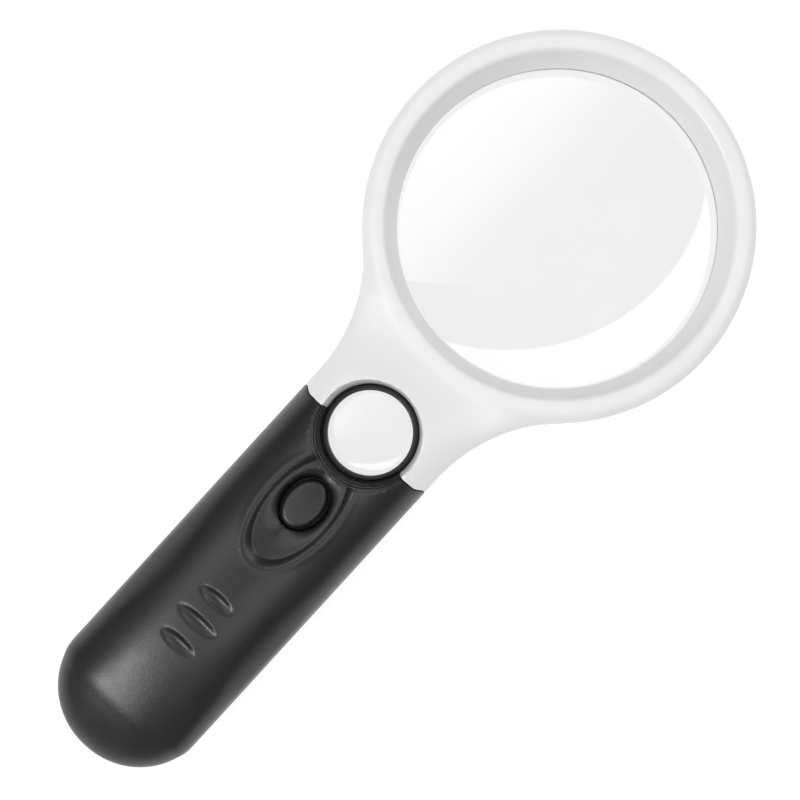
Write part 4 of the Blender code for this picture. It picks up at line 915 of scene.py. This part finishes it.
def well_liner():
    """Stepped lining of the black half of the well, which follows the curved rim."""
    steps, count, tread, lip = 96, 4, 0.4, 0.15
    short = 0.22  # the angle left off each end of the half circle
    outer = WELL_R + GRIP_WELL + 0.35
    verts = []
    for i in range(steps + 1):
        a = math.pi + short + (math.pi - 2 * short) * i / steps
        reach = outer + tread
        top = rim_height(reach * math.cos(a), SMALL_Y + reach * math.sin(a)) - 0.12
        profile = []
        for k in range(count):
            r = WELL_R + 0.06 + tread * k
            low, high = mix(WELL_Z, top, k / count), mix(WELL_Z, top, (k + 1) / count)
            profile += [(r, low), (r, high - lip), (r + lip, high)]
        profile += [(outer, top), (outer, WELL_Z)]
        verts += [(r * math.cos(a), SMALL_Y + r * math.sin(a), z) for r, z in profile]
    n = len(profile)
    faces = []
    for i in range(steps):
        for j in range(n):
            a, b = i * n + j, i * n + (j + 1) % n
            faces.append((a, b, b + n, a + n))
    bm = bmesh.new()
    points = [bm.verts.new([c * MM for c in v]) for v in verts]
    for face in faces + [tuple(range(n)), tuple(range(steps * n, steps * n + n))]:
        bm.faces.new([points[i] for i in face])
    bmesh_piece("black_well_liner", bm, "black_abs", BODY, (), 20)


well_liner()


def press_spring(node, turns, wire):
    """The coil under the switch's plunger, at the length of its frame node; the real one shortens
    as the button goes down.
    """
    low, high = box_mm(node)
    middle = (low + high) / 2
    reach = (high[0] - low[0]) / 2 - wire
    count, sides = 24 * turns, 10
    bm = bmesh.new()
    rings = []
    for i in range(count + 1):
        a = 2 * math.pi * turns * i / count
        z = mix(low[2] + wire, high[2] - wire, i / count)
        ring = []
        for k in range(sides):
            b = 2 * math.pi * k / sides
            r = reach + wire * math.cos(b)
            level = z + wire * math.sin(b)
            spot = (middle[0] + r * math.cos(a), middle[1] + r * math.sin(a), level)
            ring.append(bm.verts.new([c * MM for c in spot]))
        rings.append(ring)
    for ring, after in zip(rings, rings[1:]):
        for k in range(sides):
            j = (k + 1) % sides
            bm.faces.new((ring[k], ring[j], after[j], after[k]))
    bm.faces.new(rings[0])
    bm.faces.new(rings[-1])
    obj = bmesh_piece("steel_press_spring", bm, "spring_steel", BODY, (node,), 60)
    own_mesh(obj)


press_spring("switch_spring", 4, 0.2)

for name, look in [(p["node"], p["material_slot"]) for p in frame["record"]["subparts"]]:
    node = frame["nodes"][name]
    if not node.hide_render:
        node.data.materials.clear()
        node.data.materials.append(LOOKS[look])

# --- stage ----------------------------------------------------------------------------------------


def look_at(obj, place, target, up=(0, 0, 1)):
    back = (Vector(place) - Vector(target)).normalized()
    right = Vector(up).cross(back).normalized()
    rotation = Matrix((right, back.cross(right), back)).transposed().to_4x4()
    obj.matrix_world = Matrix.Translation(Vector(place)) @ rotation


bm = bmesh.new()
bmesh.ops.create_grid(bm, x_segments=1, y_segments=1, size=3.0)
mesh = bpy.data.meshes.new("floor")
bm.to_mesh(mesh)
bm.free()
floor = bpy.data.objects.new("floor", mesh)
bpy.context.scene.collection.objects.link(floor)
floor.location.z = CAD_BOUNDS[0].z - 0.0001
paper = Tree("paper")
paper.set(Base_Color=paper.blend(paper.noise(40.0), (0.24, 0.24, 0.24), (0.26, 0.26, 0.26)))
paper.set(Roughness=0.9, Specular_IOR_Level=0.0)
paper.set(Emission_Color=(1.0, 1.0, 1.0, 1.0), Emission_Strength=0.85)
mesh.materials.append(paper.material)


class Studio:
    """Sky that darkens to both sides, with a key, two cards and a strip beyond the ring.

    A place on the sky is given by u and v, a direction's x and y over its z.
    """

    def __init__(self, strength):
        world = bpy.data.worlds.new("studio")
        world.use_nodes = True
        bpy.context.scene.world = world
        self.tree = world.node_tree
        self.tree.nodes["Background"].inputs["Color"].default_value = (1.0, 1.0, 1.0, 1.0)
        direction = self.add("ShaderNodeTexCoord").outputs["Generated"]
        parts = self.add("ShaderNodeSeparateXYZ", direction)
        self.z = self.math("MAXIMUM", parts.outputs["Z"], 0.02)
        self.u = self.math("DIVIDE", parts.outputs["X"], self.z)
        self.v = self.math("DIVIDE", parts.outputs["Y"], self.z)
        self.total = strength

    def add(self, kind, *inputs):
        node = self.tree.nodes.new(kind)
        for socket, value in zip(node.inputs, inputs):
            if isinstance(value, bpy.types.NodeSocket):
                self.tree.links.new(value, socket)
            else:
                socket.default_value = value
        return node

    def math(self, operation, *inputs):
        node = self.add("ShaderNodeMath", *inputs)
        node.operation = operation
        return node.outputs["Value"]

    def ramp(self, value, low, high):
        """A smooth step from 0 at low to 1 at high, which may be the smaller of the two."""
        node = self.add("ShaderNodeMapRange", value, low, high, 0.0, 1.0)
        node.interpolation_type = "SMOOTHSTEP"
        return node.outputs["Result"]

    def across(self, u, v):
        return self.math("ADD", self.math("MULTIPLY", self.u, u), self.math("MULTIPLY", self.v, v))

    def away(self, u, v):
        du = self.math("SUBTRACT", self.u, u)
        dv = self.math("SUBTRACT", self.v, v)
        square = self.math("ADD", self.math("MULTIPLY", du, du), self.math("MULTIPLY", dv, dv))
        return self.math("SQRT", square)

    def light(self, strength, *masks):
        value = strength
        for mask in masks:
            value = self.math("MULTIPLY", mask, value)
        self.total = self.math("ADD", self.total, value)

    def finish(self):
        self.tree.links.new(self.total, self.tree.nodes["Background"].inputs["Strength"])


SKY, CARD_A, CARD_B, KEY, STRIP = 0.2, 1.7, 1.7, 17.0, 2.4
studio = Studio(SKY)
studio.light(SKY, studio.ramp(studio.u, 4.0, 1.5), studio.ramp(studio.u, -4.0, -1.5))
studio.light(
    CARD_A,
    studio.ramp(studio.across(1.0, 0.224), 0.180, 0.172),
    studio.ramp(studio.across(-0.8, 1.0), -0.095, -0.085),
    studio.ramp(studio.u, 0.02, -0.5),
    studio.ramp(studio.away(-0.25, 0.25), 0.75, 0.5),
)
studio.light(
    CARD_B,
    studio.ramp(studio.away(-0.367, 0.281), 0.717, 0.725),
    studio.ramp(studio.away(0.2, 0.25), 0.72, 0.62),
)
studio.light(
    STRIP,
    studio.ramp(studio.v, 0.85, 1.15),
    studio.ramp(studio.v, 3.0, 1.8),
    studio.ramp(studio.across(1.0, -0.25), -0.6, -0.3),
    studio.ramp(studio.across(1.0, -0.25), 0.6, 0.3),
)
studio.light(KEY, studio.ramp(studio.away(-0.27, -0.78), 0.32, 0.12))
studio.finish()

camera = bpy.data.cameras.new("camera")
camera.lens = 69.22
camera.sensor_width = 36.0
camera.clip_start = 0.01
camera_object = bpy.data.objects.new("camera", camera)
bpy.context.scene.collection.objects.link(camera_object)
turn = math.radians(42.406)
look_at(
    camera_object,
    (0.0057, 0.0057, 0.364),
    (-0.0001, 0.00405, 0.008),
    (-math.sin(turn), math.cos(turn), 0),
)
bpy.context.scene.camera = camera_object
bpy.context.scene.view_settings.view_transform = "Standard"
